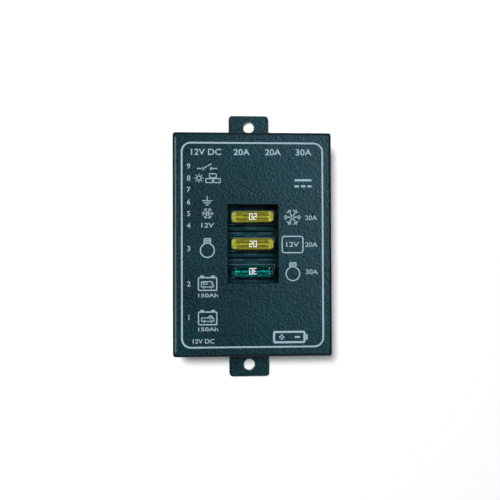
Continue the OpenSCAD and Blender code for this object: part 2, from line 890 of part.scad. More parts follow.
// Iron angle: a foot under the winding and a back whose top edge the armature rocks on
module yoke() {
    difference() {
        union() {
            bar(yoke_x, yoke_x + yoke_t, yoke_w, relay_base_h, magnet_top);
            bar(yoke_x, coil_x + yoke_reach, yoke_w, relay_base_h, relay_base_h + yoke_t);
        }
        translate([coil_x, 0, 0])
            post(rivet_d / 2 + hole_play, relay_base_h - over, relay_base_h + yoke_t + over);
    }
    for (s = [-1, 1]) translate([yoke_x + yoke_foot_x, s * yoke_foot_y, 0])
        block(yoke_t, fixed_foot_w, relay_pin_z, relay_base_h + yoke_t / 2);
}

// Iron core: a riveted foot, a round bar through the bobbin and a wider pole
module core() {
    translate([coil_x, 0, 0]) {
        post(rivet_d / 2, relay_base_h, relay_base_h + yoke_t + relay_fit);
        post(core_d / 2, relay_base_h + yoke_t, magnet_top - pole_t / 2);
        post(pole_d / 2, magnet_top - pole_t, magnet_top);
    }
}

module bobbin() {
    bore_r = core_d / 2 + relay_fit;
    top = magnet_top - pole_t;
    translate([coil_x, 0, 0]) difference() {
        union() {
            post(bore_r + barrel_t, bobbin_z, top);
            post(flange_r, bobbin_z, bobbin_z + flange_t);
            post(flange_r, top - flange_t, top);
            block(lug_w, 2 * lug_reach, bobbin_z, bobbin_z + flange_t);
        }
        post(bore_r, bobbin_z - over, top + over);
        for (s = [-1, 1]) translate([0, s * coil_pin_y, 0])
            post(coil_pin_d / 2 + relay_fit, bobbin_z - over, bobbin_z + flange_t + over);
    }
}

// The winding, a plain tube: it is sealed in the relay
module winding() {
    low = bobbin_z + flange_t;
    barrel_r = core_d / 2 + relay_fit + barrel_t;
    translate([coil_x, 0, 0]) difference() {
        post(coil_d / 2, low, low + coil_h);
        post(barrel_r + relay_fit / 2, low - over, low + coil_h + over);
    }
}

module coil_pins() {
    for (s = [-1, 1]) translate([coil_x, s * coil_pin_y, 0])
        post(coil_pin_d / 2, relay_pin_z, bobbin_z + flange_t + coil_pin_up);
}

// Turns the moving pieces from closed to the rest position on the yoke's edge
module opened() {
    translate([hinge_x, 0, armature_z]) rotate([0, -open_angle, 0])
        translate([-hinge_x, 0, -armature_z]) children();
}

module armature() {
    opened() bar(hinge_x - heel, coil_x + pole_d / 2 + armature_past, armature_w,
                 armature_z, armature_z + armature_t);
}

// Copper blade on the armature, stepped down beside the winding to carry the contact
module contact_arm() {
    top = armature_z + armature_t;
    opened() upright(arm_w) polygon([
        [arm_root_x, top], [arm_step_x, top], [arm_step_x, arm_z],
        [contact_x + contact_d / 2, arm_z], [contact_x + contact_d / 2, arm_z + arm_t],
        [arm_step_x + arm_t, arm_z + arm_t], [arm_step_x + arm_t, top + arm_t],
        [arm_root_x, top + arm_t]
    ]);
}

module moving_contact() {
    opened() translate([contact_x, 0, 0]) post(contact_d / 2, arm_z - contact_h, arm_z);
}

module fixed_contact() {
    shelf = contact_x - contact_d;
    bar(shelf, fixed_x, fixed_w, fixed_z - fixed_t, fixed_z);
    bar(fixed_x - fixed_t, fixed_x, fixed_w, relay_base_h, fixed_z);
    translate([contact_x, 0, 0]) post(contact_d / 2, fixed_z - fixed_t / 2, fixed_z + button_h);
    for (s = [-1, 1]) translate([fixed_x - fixed_t / 2, s * fixed_foot_y, 0])
        block(fixed_t, fixed_foot_w, relay_pin_z, relay_base_h + over);
}

// Leaf on the yoke's back, bent over above the armature's heel
module return_spring() {
    bend = [yoke_x + spring_bend_r, spring_z - spring_bend_r];
    upright(spring_w) polygon(concat(
        [[yoke_x, relay_base_h + yoke_t + spring_low]], arc(bend, spring_bend_r, 180, 90),
        [[yoke_x + spring_over, spring_z], [yoke_x + spring_over, spring_z + spring_t]],
        arc(bend, spring_bend_r + spring_t, 90, 180),
        [[yoke_x - spring_t, relay_base_h + yoke_t + spring_low]]
    ));
}

module fridge_relay_base() {
    color(black_colour) at_relay(1) relay_base();
}

module fridge_relay_cover() {
    color(smoke_colour) at_relay(1) relay_cover();
}

module fridge_yoke() {
    color(iron_colour) at_relay(1) yoke();
}

module fridge_core() {
    color(iron_colour) at_relay(1) core();
}

module fridge_bobbin() {
    color(bobbin_colour) at_relay(1) bobbin();
}

module fridge_winding() {
    color(copper_colour) at_relay(1) winding();
}

module fridge_coil_pins() {
    color(tin_colour) at_relay(1) coil_pins();
}

module fridge_armature() {
    color(iron_colour) at_relay(1) armature();
}

module fridge_contact_arm() {
    color(copper_colour) at_relay(1) contact_arm();
}

module fridge_moving_contact() {
    color(tin_colour) at_relay(1) moving_contact();
}

module fridge_fixed_contact() {
    color(brass_colour) at_relay(1) fixed_contact();
}

module fridge_return_spring() {
    color(tin_colour) at_relay(1) return_spring();
}

module battery_relay_base() {
    color(black_colour) at_relay(-1) relay_base();
}

module battery_relay_cover() {
    color(smoke_colour) at_relay(-1) relay_cover();
}

module battery_yoke() {
    color(iron_colour) at_relay(-1) yoke();
}

module battery_core() {
    color(iron_colour) at_relay(-1) core();
}

module battery_bobbin() {
    color(bobbin_colour) at_relay(-1) bobbin();
}

module battery_winding() {
    color(copper_colour) at_relay(-1) winding();
}

module battery_coil_pins() {
    color(tin_colour) at_relay(-1) coil_pins();
}

module battery_armature() {
    color(iron_colour) at_relay(-1) armature();
}

module battery_contact_arm() {
    color(copper_colour) at_relay(-1) contact_arm();
}

module battery_moving_contact() {
    color(tin_colour) at_relay(-1) moving_contact();
}

module battery_fixed_contact() {
    color(brass_colour) at_relay(-1) fixed_contact();
}

module battery_return_spring() {
    color(tin_colour) at_relay(-1) return_spring();
}

// Chip in a case with two rows of legs through the board
module chip_legs(grow) {
    translate(field(chip_place_shares)) for (s = [-1, 1], i = [0:3])
        translate([s * chip_row / 2, (i - 1.5) * lead_pitch, 0])
            block(chip_leg_t + 2 * grow, chip_leg_w + 2 * grow, pin_z - grow, board_top + over);
}

module comparator_chip() {
    low = board_top + chip_up;
    mid = low + chip_h / 2;
    color(black_colour) {
        translate(field(chip_place_shares)) {
            difference() {
                block(chip_w, chip_l, low, low + chip_h);
                translate([0, chip_l / 2, 0])
                    post(chip_notch_d / 2, low + chip_h - chip_notch_h, low + chip_h + over);
            }
            for (s = [-1, 1], i = [0:3]) translate([0, (i - 1.5) * lead_pitch, 0]) scale([s, 1, 1]) {
                bar(chip_w / 2 - over, (chip_row + chip_leg_t) / 2, chip_leg_shoulder,
                    mid, mid + chip_leg_t);
                bar((chip_row - chip_leg_t) / 2, (chip_row + chip_leg_t) / 2, chip_leg_shoulder,
                    board_top, mid + chip_leg_t);
            }
        }
        chip_legs(0);
    }
}

// Round leads of the cans, transistors, disc, diodes and resistors
module lead(grow) {
    post(lead_d / 2 + grow, pin_z - grow, board_top + over);
}

module can_leads(grow) {
    for (place = can_place_shares, s = [-1, 1])
        translate(field(place)) translate([s * lead_pitch / 2, 0, 0]) lead(grow);
}

module transistor_leads(grow) {
    for (place = transistor_place_shares, s = [-1, 0, 1])
        translate(field(place)) translate([0, s * lead_pitch / 2, 0]) lead(grow);
}

module disc_leads(grow) {
    for (s = [-1, 1])
        translate(field(disc_place_shares)) translate([0, s * lead_pitch, 0]) lead(grow);
}

module diode_leads(grow) {
    for (place = diode_place_shares, s = [-1, 1])
        translate(field(place)) translate([0, s * lead_span / 2, 0]) lead(grow);
}

module at_resistors() {
    for (share = resistor_column_shares, row = [-1, 0, 1])
        translate([strip_x + share * strip_w, window_y + row * row_step, 0]) children();
}

module resistor_leads(grow) {
    at_resistors() for (s = [-1, 1]) translate([0, s * lead_span / 2, 0]) lead(grow);
}

module round_leads(grow) {
    can_leads(grow);
    transistor_leads(grow);
    disc_leads(grow);
    diode_leads(grow);
    resistor_leads(grow);
}

module capacitors() {
    r = can_d / 2;
    groove_z = board_top + can_groove_z;
    color(black_colour) {
        for (place = can_place_shares) translate(field(place)) rotate_extrude() polygon([
            [0, board_top], [r, board_top], [r, groove_z - can_groove], [r - can_groove, groove_z],
            [r, groove_z + can_groove], [r, board_top + can_h - can_groove],
            [r - can_groove, board_top + can_h], [0, board_top + can_h]
        ]);
        can_leads(0);
    }
}

module transistors() {
    low = board_top + transistor_up;
    flat = transistor_flat_share * transistor_d;
    color(black_colour) {
        for (place = transistor_place_shares) translate(field(place)) {
            difference() {
                post(transistor_d / 2, low, low + transistor_h);
                bar(flat, transistor_d, 2 * transistor_d, low - over, low + transistor_h + over);
            }
            for (s = [-1, 0, 1]) translate([0, s * lead_pitch / 2, 0])
                post(lead_d / 2, pin_z, low + over);
        }
    }
}

module surge_suppressor() {
    mid = board_top + disc_up + disc_d / 2;
    color(disc_colour) translate(field(disc_place_shares)) {
        translate([-disc_t / 2, 0, mid]) rotate([0, 90, 0]) cylinder(d = disc_d, h = disc_t);
        for (s = [-1, 1]) translate([0, s * lead_pitch, 0]) post(lead_d / 2, pin_z, mid);
    }
}

// Two upright leads joined by a level, slightly thinner wire through an axial part's centre
module axial_wire(r) {
    mid = board_top + r;
    translate([0, -lead_span / 2, mid])
        rotate([-90, 0, 0]) cylinder(d = lead_d * wire_share, h = lead_span);
    for (s = [-1, 1]) translate([0, s * lead_span / 2, 0]) post(lead_d / 2, pin_z, mid + lead_d / 2);
}

module diodes() {
    mid = board_top + diode_d / 2;
    color(black_colour) for (place = diode_place_shares) translate(field(place)) {
        translate([0, -diode_l / 2, mid]) rotate([-90, 0, 0]) cylinder(d = diode_d, h = diode_l);
        axial_wire(diode_d / 2);
    }
}

// Resistor bodies swell at both ends
module resistors() {
    r = resistor_d / 2;
    neck = r * resistor_neck_share;
    cap = resistor_l * resistor_cap_share;
    slope = cap * resistor_slope_share;
    color(resistor_colour) at_resistors() {
        translate([0, -resistor_l / 2, board_top + r]) rotate([-90, 0, 0]) rotate_extrude() polygon([
            [0, 0], [neck, 0], [r, cap / 3], [r, cap], [neck, slope],
            [neck, resistor_l - slope], [r, resistor_l - cap], [r, resistor_l - cap / 3],
            [neck, resistor_l], [0, resistor_l]
        ]);
        axial_wire(r);
    }
}

base_shell();
front_cover();
case_screws();
circuit_board();
board_screws();
terminal_comb();
power_terminals();
signal_terminals();
fuse_socket_upper();
fuse_socket_middle();
fuse_socket_lower();
fuse_clips_upper();
fuse_clips_middle();
fuse_clips_lower();
fuse_body_upper();
fuse_body_middle();
fuse_body_lower();
fuse_element_upper();
fuse_element_middle();
fuse_element_lower();
fridge_relay_base();
fridge_relay_cover();
fridge_yoke();
fridge_core();
fridge_bobbin();
fridge_winding();
fridge_coil_pins();
fridge_armature();
fridge_contact_arm();
fridge_moving_contact();
fridge_fixed_contact();
fridge_return_spring();
battery_relay_base();
battery_relay_cover();
battery_yoke();
battery_core();
battery_bobbin();
battery_winding();
battery_coil_pins();
battery_armature();
battery_contact_arm();
battery_moving_contact();
battery_fixed_contact();
battery_return_spring();
comparator_chip();
capacitors();
transistors();
surge_suppressor();
diodes();
resistors();
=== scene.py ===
"""Looks of a battery isolator relay: a moulded case on a white floor, seen from its face.

Everything is in metres in the CAD model's frame: +X right, +Y up the case, +Z out of its
face, with the origin at the centre of the back.
"""

import json
import math

import bmesh
import bpy
import numpy as np
from mathutils import Matrix, Vector


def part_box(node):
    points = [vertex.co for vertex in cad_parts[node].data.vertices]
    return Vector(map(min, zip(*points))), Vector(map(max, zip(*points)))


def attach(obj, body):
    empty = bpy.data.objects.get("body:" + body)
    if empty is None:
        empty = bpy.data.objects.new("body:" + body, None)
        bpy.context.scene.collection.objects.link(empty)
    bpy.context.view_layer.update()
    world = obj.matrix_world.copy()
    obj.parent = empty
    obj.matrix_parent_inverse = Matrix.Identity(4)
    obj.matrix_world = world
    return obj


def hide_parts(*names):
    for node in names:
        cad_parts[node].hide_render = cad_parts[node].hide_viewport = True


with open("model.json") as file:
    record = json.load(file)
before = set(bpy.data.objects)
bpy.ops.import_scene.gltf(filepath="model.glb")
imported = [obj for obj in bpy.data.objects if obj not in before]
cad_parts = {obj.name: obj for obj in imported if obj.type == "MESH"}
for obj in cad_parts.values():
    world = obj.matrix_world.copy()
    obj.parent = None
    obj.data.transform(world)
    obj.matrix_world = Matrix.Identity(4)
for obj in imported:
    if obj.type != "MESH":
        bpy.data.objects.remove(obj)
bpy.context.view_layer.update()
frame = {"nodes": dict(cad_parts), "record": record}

MM = 0.001

# Sizes of the case, its window and its fuses, in mm
CASE_W, CASE_H, CASE_T = 71.0, 100.0, 30.0
CORNER_R, EDGE_R = 1.5, 1.25
SEAM_Z = 8.0
WINDOW_X, WINDOW_Y = 0.25, 0.25
FUSE_PITCH = 12.3
FUSE_HEAD_W, FUSE_HEAD_T, FUSE_HEAD_R = 19.1, 5.1, 1.6
FUSE_BASE_Z, FUSE_HEAD_Z, FUSE_TOP_Z = 14.4, 18.2, 26.0
SKIRT_W, SKIRT_T = 16.8, 4.0
DECK_DROP = 0.45
UPPER_TILT = math.radians(1.2)
COLLAR_Z, SHOULDER_Z = 18.0, 14.5
ROWS = {"upper": 1, "middle": 0, "lower": -1}
MERGE_GAP = 1e-7


def row_y(row):
    """Height on the face of the middle of a fuse row, or of the gap between two rows."""
    return WINDOW_Y + row * FUSE_PITCH


# Meshes
def grid_faces(rows, cols, wrap_rows=False, wrap_cols=False):
    """Quads of a rows x cols grid of points, joined to the start again where it wraps."""
    r = np.arange(rows if wrap_rows else rows - 1)[:, None]
    c = np.arange(cols if wrap_cols else cols - 1)[None, :]
    r1, c1 = (r + 1) % rows, (c + 1) % cols
    quads = np.stack([r * cols + c, r * cols + c1, r1 * cols + c1, r1 * cols + c], -1)
    return quads.reshape(-1, 4)


def points_of(mesh):
    """A mesh's points in mm, one to a row."""
    co = np.zeros(len(mesh.vertices) * 3)
    mesh.vertices.foreach_get("co", co)
    return co.reshape(-1, 3) / MM


def add_piece(name, parts, body, material, replaces=(), sharp=35):
    """Makes one mesh object of closed (points in mm, faces) parts, with shared points merged
    and all faces turned outwards."""
    mesh = bpy.data.meshes.new(name)
    points, faces, start = [], [], 0
    for pts, quads in parts:
        points.append(np.asarray(pts, float).reshape(-1, 3))
        faces += [tuple(int(i) + start for i in q) for q in quads]
        start += len(points[-1])
    mesh.from_pydata(np.concatenate(points) * MM, [], faces)
    shape = bmesh.new()
    shape.from_mesh(mesh)
    bmesh.ops.remove_doubles(shape, verts=shape.verts, dist=MERGE_GAP)
    bmesh.ops.dissolve_degenerate(shape, edges=shape.edges, dist=MERGE_GAP)
    bmesh.ops.recalc_face_normals(shape, faces=shape.faces)
    shape.to_mesh(mesh)
    shape.free()
    mesh.polygons.foreach_set("use_smooth", np.ones(len(mesh.polygons), bool))
    mesh.set_sharp_from_angle(angle=math.radians(sharp))
    piece = bpy.data.objects.new(name, mesh)
    bpy.context.scene.collection.objects.link(piece)
    piece.data.materials.append(material)
    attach(piece, body)
    if replaces:
        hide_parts(*replaces)
    return piece


# Material groups
def new_group(name, inputs, outputs):
    """A shader node group with named sockets; returns it with its input and output nodes."""
    group = bpy.data.node_groups.new(name, "ShaderNodeTree")
    for socket, kind, value in inputs:
        made = group.interface.new_socket(name=socket, in_out="INPUT", socket_type=kind)
        if kind != "NodeSocketVector":
            made.default_value = value
    for socket, kind in outputs:
        group.interface.new_socket(name=socket, in_out="OUTPUT", socket_type=kind)
    return group, group.nodes.new("NodeGroupInput"), group.nodes.new("NodeGroupOutput")


def node(tree, kind, links=(), **values):
    """Adds a node, sets its properties and plain inputs, and links what feeds it."""
    made = tree.nodes.new(kind)
    for key, value in values.items():
        if hasattr(made, key):
            setattr(made, key, value)
        else:
            made.inputs[key.replace("_", " ")].default_value = value
    for socket, source in links:
        tree.links.new(source, made.inputs[socket])
    return made


def moulded_grain_group():
    """Fine grain of moulded plastic: a cell noise and a finer noise, as height and mask."""
    group, ins, outs = new_group(
        "moulded_grain",
        [("Vector", "NodeSocketVector", None), ("Scale", "NodeSocketFloat", 1500.0)],
        [("Height", "NodeSocketFloat"), ("Mask", "NodeSocketFloat")])
    place = [("Vector", ins.outputs["Vector"]), ("Scale", ins.outputs["Scale"])]
    cells = node(group, "ShaderNodeTexVoronoi", place, feature="SMOOTH_F1")
    fine = node(group, "ShaderNodeTexNoise", place, Detail=3.0, Roughness=0.6)
    height = node(group, "ShaderNodeMath", [(0, cells.outputs["Distance"]), (1, fine.outputs[0])],
                  operation="ADD")
    mask = node(group, "ShaderNodeMapRange", [("Value", fine.outputs[0])],
                From_Min=0.33, From_Max=0.67)
    group.links.new(height.outputs[0], outs.inputs["Height"])
    group.links.new(mask.outputs[0], outs.inputs["Mask"])
    return group


def tone_drift_group():
    """Slow change of tone over a moulding, from a soft noise, between two colours."""
    group, ins, outs = new_group(
        "tone_drift",
        [("Vector", "NodeSocketVector", None), ("Scale", "NodeSocketFloat", 30.0),
         ("Dark", "NodeSocketColor", (0, 0, 0, 1)), ("Light", "NodeSocketColor", (1, 1, 1, 1)),
         ("Grain", "NodeSocketFloat", 0.5)],
        [("Color", "NodeSocketColor")])
    place = [("Vector", ins.outputs["Vector"]), ("Scale", ins.outputs["Scale"])]
    soft = node(group, "ShaderNodeTexNoise", place, Detail=2.0, Roughness=0.5)
    both = node(group, "ShaderNodeMath", [(0, soft.outputs[0]), (1, ins.outputs["Grain"])],
                operation="ADD")
    share = node(group, "ShaderNodeMapRange", [("Value", both.outputs[0])],
                 From_Min=0.35, From_Max=1.65)
    colours = [(0, share.outputs[0]), (6, ins.outputs["Dark"]), (7, ins.outputs["Light"])]
    mix = node(group, "ShaderNodeMix", colours, data_type="RGBA")
    group.links.new(mix.outputs[2], outs.inputs["Color"])
    return group


def new_material(name):
    """An empty material with a Principled shader; returns it, its tree, the shader and the
    Object coordinates."""
    material = bpy.data.materials.new(name)
    material.use_nodes = True
    tree = material.node_tree
    tree.nodes.clear()
    out = tree.nodes.new("ShaderNodeOutputMaterial")
    shader = tree.nodes.new("ShaderNodeBsdfPrincipled")
    tree.links.new(shader.outputs[0], out.inputs[0])
    place = tree.nodes.new("ShaderNodeTexCoord")
    return material, tree, shader, place.outputs["Object"]


def front_edge_group():
    """The case's rounded front edge, from Object coordinates: Band is 1 where a point near the
    face lies within the edge radius of the outline, for its painted shade; the other output is
    1 on a hairline just inside the left edge, broken up by the grain, for a painted highlight."""
    group, ins, outs = new_group(
        "front_edge",
        [("Vector", "NodeSocketVector", None), ("Grain", "NodeSocketFloat", 0.5)],
        [("Band", "NodeSocketFloat"), ("PaintedHighlight", "NodeSocketFloat")])
    x, y, z = node(group, "ShaderNodeSeparateXYZ", [(0, ins.outputs["Vector"])]).outputs

    def beyond(value, half):
        """How far a place is past the start of the rounded edge."""
        size = node(group, "ShaderNodeMath", [(0, value)], operation="ABSOLUTE")
        past = node(group, "ShaderNodeMath", [(0, size.outputs[0])], operation="SUBTRACT")
        past.inputs[1].default_value = (half - EDGE_R) * MM
        return past.outputs[0]

    def rise(value, low, high, falls=False):
        """A smooth step from 0 to 1 between two places in mm, or from 1 to 0 where it falls."""
        return node(group, "ShaderNodeMapRange", [("Value", value)],
                    interpolation_type="SMOOTHSTEP", From_Min=low * MM, From_Max=high * MM,
                    To_Min=float(falls), To_Max=1.0 - falls).outputs[0]

    def product(*values):
        """The product of several masks."""
        result = values[0]
        for value in values[1:]:
            result = node(group, "ShaderNodeMath", [(0, result), (1, value)],
                          operation="MULTIPLY").outputs[0]
        return result

    past_x, past_y = beyond(x, CASE_W / 2), beyond(y, CASE_H / 2)
    past = node(group, "ShaderNodeMath", [(0, past_x), (1, past_y)], operation="MAXIMUM")
    near_face = rise(z, CASE_T - 2.2, CASE_T - 1.2)
    # Painted shade: the band over the rounded front edge, which the material darkens.
    band = product(rise(past.outputs[0], -0.15, 0.25), near_face)
    # Painted highlight: a pale hairline just inside the left edge.
    left = -CASE_W / 2 + EDGE_R
    line = product(rise(x, left - 0.45, left - 0.15), rise(x, left + 0.1, left + 0.5, True),
                   rise(past_y, -1.5, -0.5, True), near_face)
    broken = node(group, "ShaderNodeMapRange", [("Value", ins.outputs["Grain"])],
                  To_Min=0.55, To_Max=1.0)
    group.links.new(band, outs.inputs["Band"])
    group.links.new(product(line, broken.outputs[0]), outs.inputs["PaintedHighlight"])
    return group


GRAIN = moulded_grain_group()
DRIFT = tone_drift_group()
FRONT_EDGE = front_edge_group()
DRIFT_SCALE = 40.0
# Colour of the painted highlight on the hairline beside the case's left edge.
PAINTED_HIGHLIGHT_COLOUR = (0.10, 0.17, 0.19)
EDGE_ROUGHNESS = 0.9


def placed_group(tree, group, place, **values):
    """Puts a node group in a material, fed by its coordinates and plain values."""
    made = node(tree, "ShaderNodeGroup", node_tree=group)
    tree.links.new(place, made.inputs["Vector"])
    for socket, value in values.items():
        made.inputs[socket].default_value = value
    return made


def multiplied(tree, first, second):
    """The product of two colours."""
    both = node(tree, "ShaderNodeMix", [(6, first), (7, second)],
                data_type="RGBA", blend_type="MULTIPLY")
    both.inputs[0].default_value = 1.0
    return both.outputs[2]


def moulded_plastic(name, dark, light, roughness, grain_scale, grain_depth, specular=0.5,
                    sockets=(), edge=None):
    """Moulded plastic: tone drift and grain in its colour, roughness and bump. Where edge is
    given, the rounded front edge has that share of the face's tone as painted shade and is
    duller, and a painted highlight, a pale hairline, runs beside it on the left."""
    material, tree, shader, place = new_material(name)
    grain = placed_group(tree, GRAIN, place, Scale=grain_scale)
    tone = placed_group(tree, DRIFT, place, Scale=DRIFT_SCALE, Dark=(*dark, 1), Light=(*light, 1))
    tree.links.new(grain.outputs["Mask"], tone.inputs["Grain"])
    colour = tone.outputs["Color"]
    rough = node(tree, "ShaderNodeMapRange", [("Value", grain.outputs["Mask"])],
                 To_Min=roughness - 0.06, To_Max=roughness + 0.08).outputs[0]
    if edge is not None:
        rounded = placed_group(tree, FRONT_EDGE, place)
        tree.links.new(grain.outputs["Mask"], rounded.inputs["Grain"])
        # Painted shade on the rounded front edge: the colour times the edge share.
        shade = node(tree, "ShaderNodeMix", [(0, rounded.outputs["Band"])], data_type="RGBA")
        shade.inputs[6].default_value = (1, 1, 1, 1)
        shade.inputs[7].default_value = (edge, edge, edge, 1)
        shaded = multiplied(tree, colour, shade.outputs[2])
        # Painted highlight: the pale hairline beside the left edge.
        painted_highlight = node(tree, "ShaderNodeMix", [(0, rounded.outputs["PaintedHighlight"]), (6, shaded)],
                    data_type="RGBA")
        painted_highlight.inputs[7].default_value = (*PAINTED_HIGHLIGHT_COLOUR, 1)
        colour = painted_highlight.outputs[2]
        dull = node(tree, "ShaderNodeMix", [(0, rounded.outputs["Band"]), (2, rough)],
                    data_type="FLOAT")
        dull.inputs[3].default_value = EDGE_ROUGHNESS
        rough = dull.outputs[0]
    tree.links.new(colour, shader.inputs["Base Color"])
    tree.links.new(rough, shader.inputs["Roughness"])
    bump = node(tree, "ShaderNodeBump", [("Height", grain.outputs["Height"])],
                Distance=grain_depth, Strength=0.6)
    tree.links.new(bump.outputs[0], shader.inputs["Normal"])
    shader.inputs["Specular IOR Level"].default_value = specular
    for socket, value in sockets:
        shader.inputs[socket].default_value = value
    return material


def metal(name, dark, light, roughness, grain_scale=900.0, grain_depth=2e-5):
    """Metal or metal plating: a mottled tone, uneven roughness and a faint rolled grain."""
    return moulded_plastic(name, dark, light, roughness, grain_scale, grain_depth,
                           sockets=[("Metallic", 1.0)])


# Materials
# The case's rounded front edge gets painted shade at a quarter of the face's tone, and a painted
# highlight beside its left side.
case_plastic = moulded_plastic("case_plastic", (0.0003, 0.002, 0.003), (0.0013, 0.028, 0.033),
                               0.30, 1100.0, 1.6e-4, specular=0.5, edge=0.25)
socket_plastic = moulded_plastic("socket_plastic", (0.0008, 0.014, 0.017), (0.004, 0.036, 0.043),
                                 0.30, 1200.0, 2e-5, specular=0.4)
zinc = metal("zinc_plate", (0.52, 0.53, 0.53), (0.70, 0.71, 0.70), 0.34)
tin = metal("tinned_brass", (0.60, 0.58, 0.52), (0.78, 0.76, 0.70), 0.28)
copper = metal("copper", (0.62, 0.27, 0.16), (0.78, 0.38, 0.24), 0.32)
silver = metal("contact_silver", (0.72, 0.71, 0.68), (0.86, 0.85, 0.82), 0.25)
iron = metal("iron", (0.30, 0.30, 0.31), (0.46, 0.46, 0.47), 0.40)
board_lacquer = moulded_plastic("board_lacquer", (0.01, 0.09, 0.05), (0.02, 0.15, 0.08),
                                0.3, 800.0, 1e-5)
black_plastic = moulded_plastic("black_plastic", (0.008, 0.008, 0.009), (0.02, 0.02, 0.022),
                                0.4, 900.0, 2e-5)
bobbin_plastic = moulded_plastic("bobbin_plastic", (0.60, 0.56, 0.46), (0.74, 0.70, 0.60),
                                 0.45, 700.0, 2e-5)
blue_epoxy = moulded_plastic("blue_epoxy", (0.01, 0.05, 0.30), (0.02, 0.09, 0.42),
                             0.3, 500.0, 2e-5)
resistor_lacquer = moulded_plastic("resistor_lacquer", (0.42, 0.32, 0.17), (0.55, 0.44, 0.26),
                                   0.4, 700.0, 2e-5)
print_ink = moulded_plastic("print_ink", (0.24, 0.32, 0.38), (0.36, 0.46, 0.53),
                            0.5, 3000.0, 1e-5)
# Pale plastic for the painted highlights on the socket rims and shoulders.
painted_rim_highlight = moulded_plastic("painted_rim_highlight", (0.030, 0.070, 0.085), (0.060, 0.115, 0.135),
                             0.4, 1500.0, 2e-5)
# Near-black for painted shade in the gaps at the sockets and at the parting line.
painted_gap_shade = moulded_plastic("painted_gap_shade", (0.0005, 0.002, 0.003), (0.001, 0.006, 0.008),
                           0.6, 1500.0, 2e-5, specular=0.1)
white_ink = moulded_plastic("white_ink", (0.80, 0.82, 0.80), (0.92, 0.93, 0.92),
                            0.5, 2000.0, 1e-5)


def fuse_plastic(name, deep, pale, low, high, scale):
    """Clear tinted plastic: light passes through it in part; deep in its bands, pale in its
    end lobes and rib by the attribute tone, with a mottle from low to high over it."""
    material, tree, shader, place = new_material(name)
    grain = placed_group(tree, GRAIN, place, Scale=900.0)
    mottle = placed_group(tree, DRIFT, place, Scale=scale,
                          Dark=(low, low, low, 1), Light=(high, high, high, 1))
    tree.links.new(grain.outputs["Mask"], mottle.inputs["Grain"])
    tone = node(tree, "ShaderNodeAttribute", attribute_name="tone")
    colour = node(tree, "ShaderNodeMix", [(0, tone.outputs["Fac"])], data_type="RGBA")
    colour.inputs[6].default_value = (*deep, 1)
    colour.inputs[7].default_value = (*pale, 1)
    mottled = multiplied(tree, colour.outputs[2], mottle.outputs["Color"])
    tree.links.new(mottled, shader.inputs["Base Color"])
    bump = node(tree, "ShaderNodeBump", [("Height", grain.outputs["Height"])],
                Distance=5e-5, Strength=0.5)
    tree.links.new(bump.outputs[0], shader.inputs["Normal"])
    shader.inputs["Roughness"].default_value = 0.10
    shader.inputs["Transmission Weight"].default_value = 0.5
    shader.inputs["IOR"].default_value = 1.5
    return material


yellow_fuse = fuse_plastic("yellow_fuse", (0.17, 0.14, 0.018), (0.55, 0.57, 0.035),
                           0.6, 1.4, 500.0)
green_fuse = fuse_plastic("green_fuse", (0.0004, 0.010, 0.014), (0.003, 0.40, 0.35),
                          0.0, 2.0, 600.0)

SLOT_MATERIALS = {
    "case_plastic": case_plastic, "socket_plastic": socket_plastic, "zinc_screw": zinc,
    "board": board_lacquer, "tinned_brass": tin, "yellow_fuse": yellow_fuse,
    "green_fuse": green_fuse, "fuse_zinc": zinc, "relay_plastic": black_plastic,
    "bobbin_plastic": bobbin_plastic, "iron": iron, "copper_wire": copper,
    "contact_copper": copper, "contact_silver": silver, "spring_steel": iron,
    "black_epoxy": black_plastic, "can_sleeve": black_plastic, "blue_epoxy": blue_epoxy,
    "resistor_body": resistor_lacquer,
}
slot_of = {part["node"]: part["material_slot"] for part in frame["record"]["subparts"]}
for name, cad_node in frame["nodes"].items():
    cad_node.data.materials.clear()
    cad_node.data.materials.append(SLOT_MATERIALS[slot_of[name]])


def soften(name, width):
    """Gives a CAD node small round edges with modifiers alone: weld, bevel, weighted normals."""
    cad_node = frame["nodes"][name]
    weld = cad_node.modifiers.new("weld", "WELD")
    weld.merge_threshold = 1e-6
    bevel = cad_node.modifiers.new("bevel", "BEVEL")
    bevel.width = width * MM
    bevel.segments = 2
    bevel.limit_method = "ANGLE"
    bevel.angle_limit = math.radians(40)
    bevel.harden_normals = True
    normals = cad_node.modifiers.new("normals", "WEIGHTED_NORMAL")
    normals.keep_sharp = True


soften("base_shell", 0.3)
soften("terminal_comb", 0.1)
for place in ROWS:
    soften(f"fuse_socket_{place}", 0.32)


# Print on the face
INK_Z0, INK_Z1 = CASE_T - 0.01, CASE_T + 0.02
LEAST_MITRE = 0.35


def ribbon(path, width, closed=False, z0=INK_Z0, z1=INK_Z1):
    """A line of even width: the path's points moved half the width to each side along the mitre
    of their neighbours' directions, as a thin closed plate from z0 to z1."""
    p = np.asarray(path, float)
    ahead = np.roll(p, -1, 0) - p
    behind = p - np.roll(p, 1, 0)
    if not closed:
        ahead[-1], behind[0] = behind[-1], ahead[0]
    ahead /= np.linalg.norm(ahead, axis=1)[:, None]
    behind /= np.linalg.norm(behind, axis=1)[:, None]
    n0 = np.stack([-behind[:, 1], behind[:, 0]], 1)
    n1 = np.stack([-ahead[:, 1], ahead[:, 0]], 1)
    mitre = n0 + n1
    mitre /= np.maximum((mitre * n0).sum(1), LEAST_MITRE)[:, None]
    left, right = p + mitre * width / 2, p - mitre * width / 2
    rings = [np.column_stack([s, np.full(len(p), z)]) for s, z in
             ((left, z0), (right, z0), (right, z1), (left, z1))]
    pts = np.stack(rings, 1).reshape(-1, 3)
    faces = [tuple(f) for f in grid_faces(len(p), 4, wrap_rows=closed, wrap_cols=True)]
    if not closed:
        last = 4 * (len(p) - 1)
        faces += [(0, 1, 2, 3), (last + 3, last + 2, last + 1, last)]
    return pts, faces


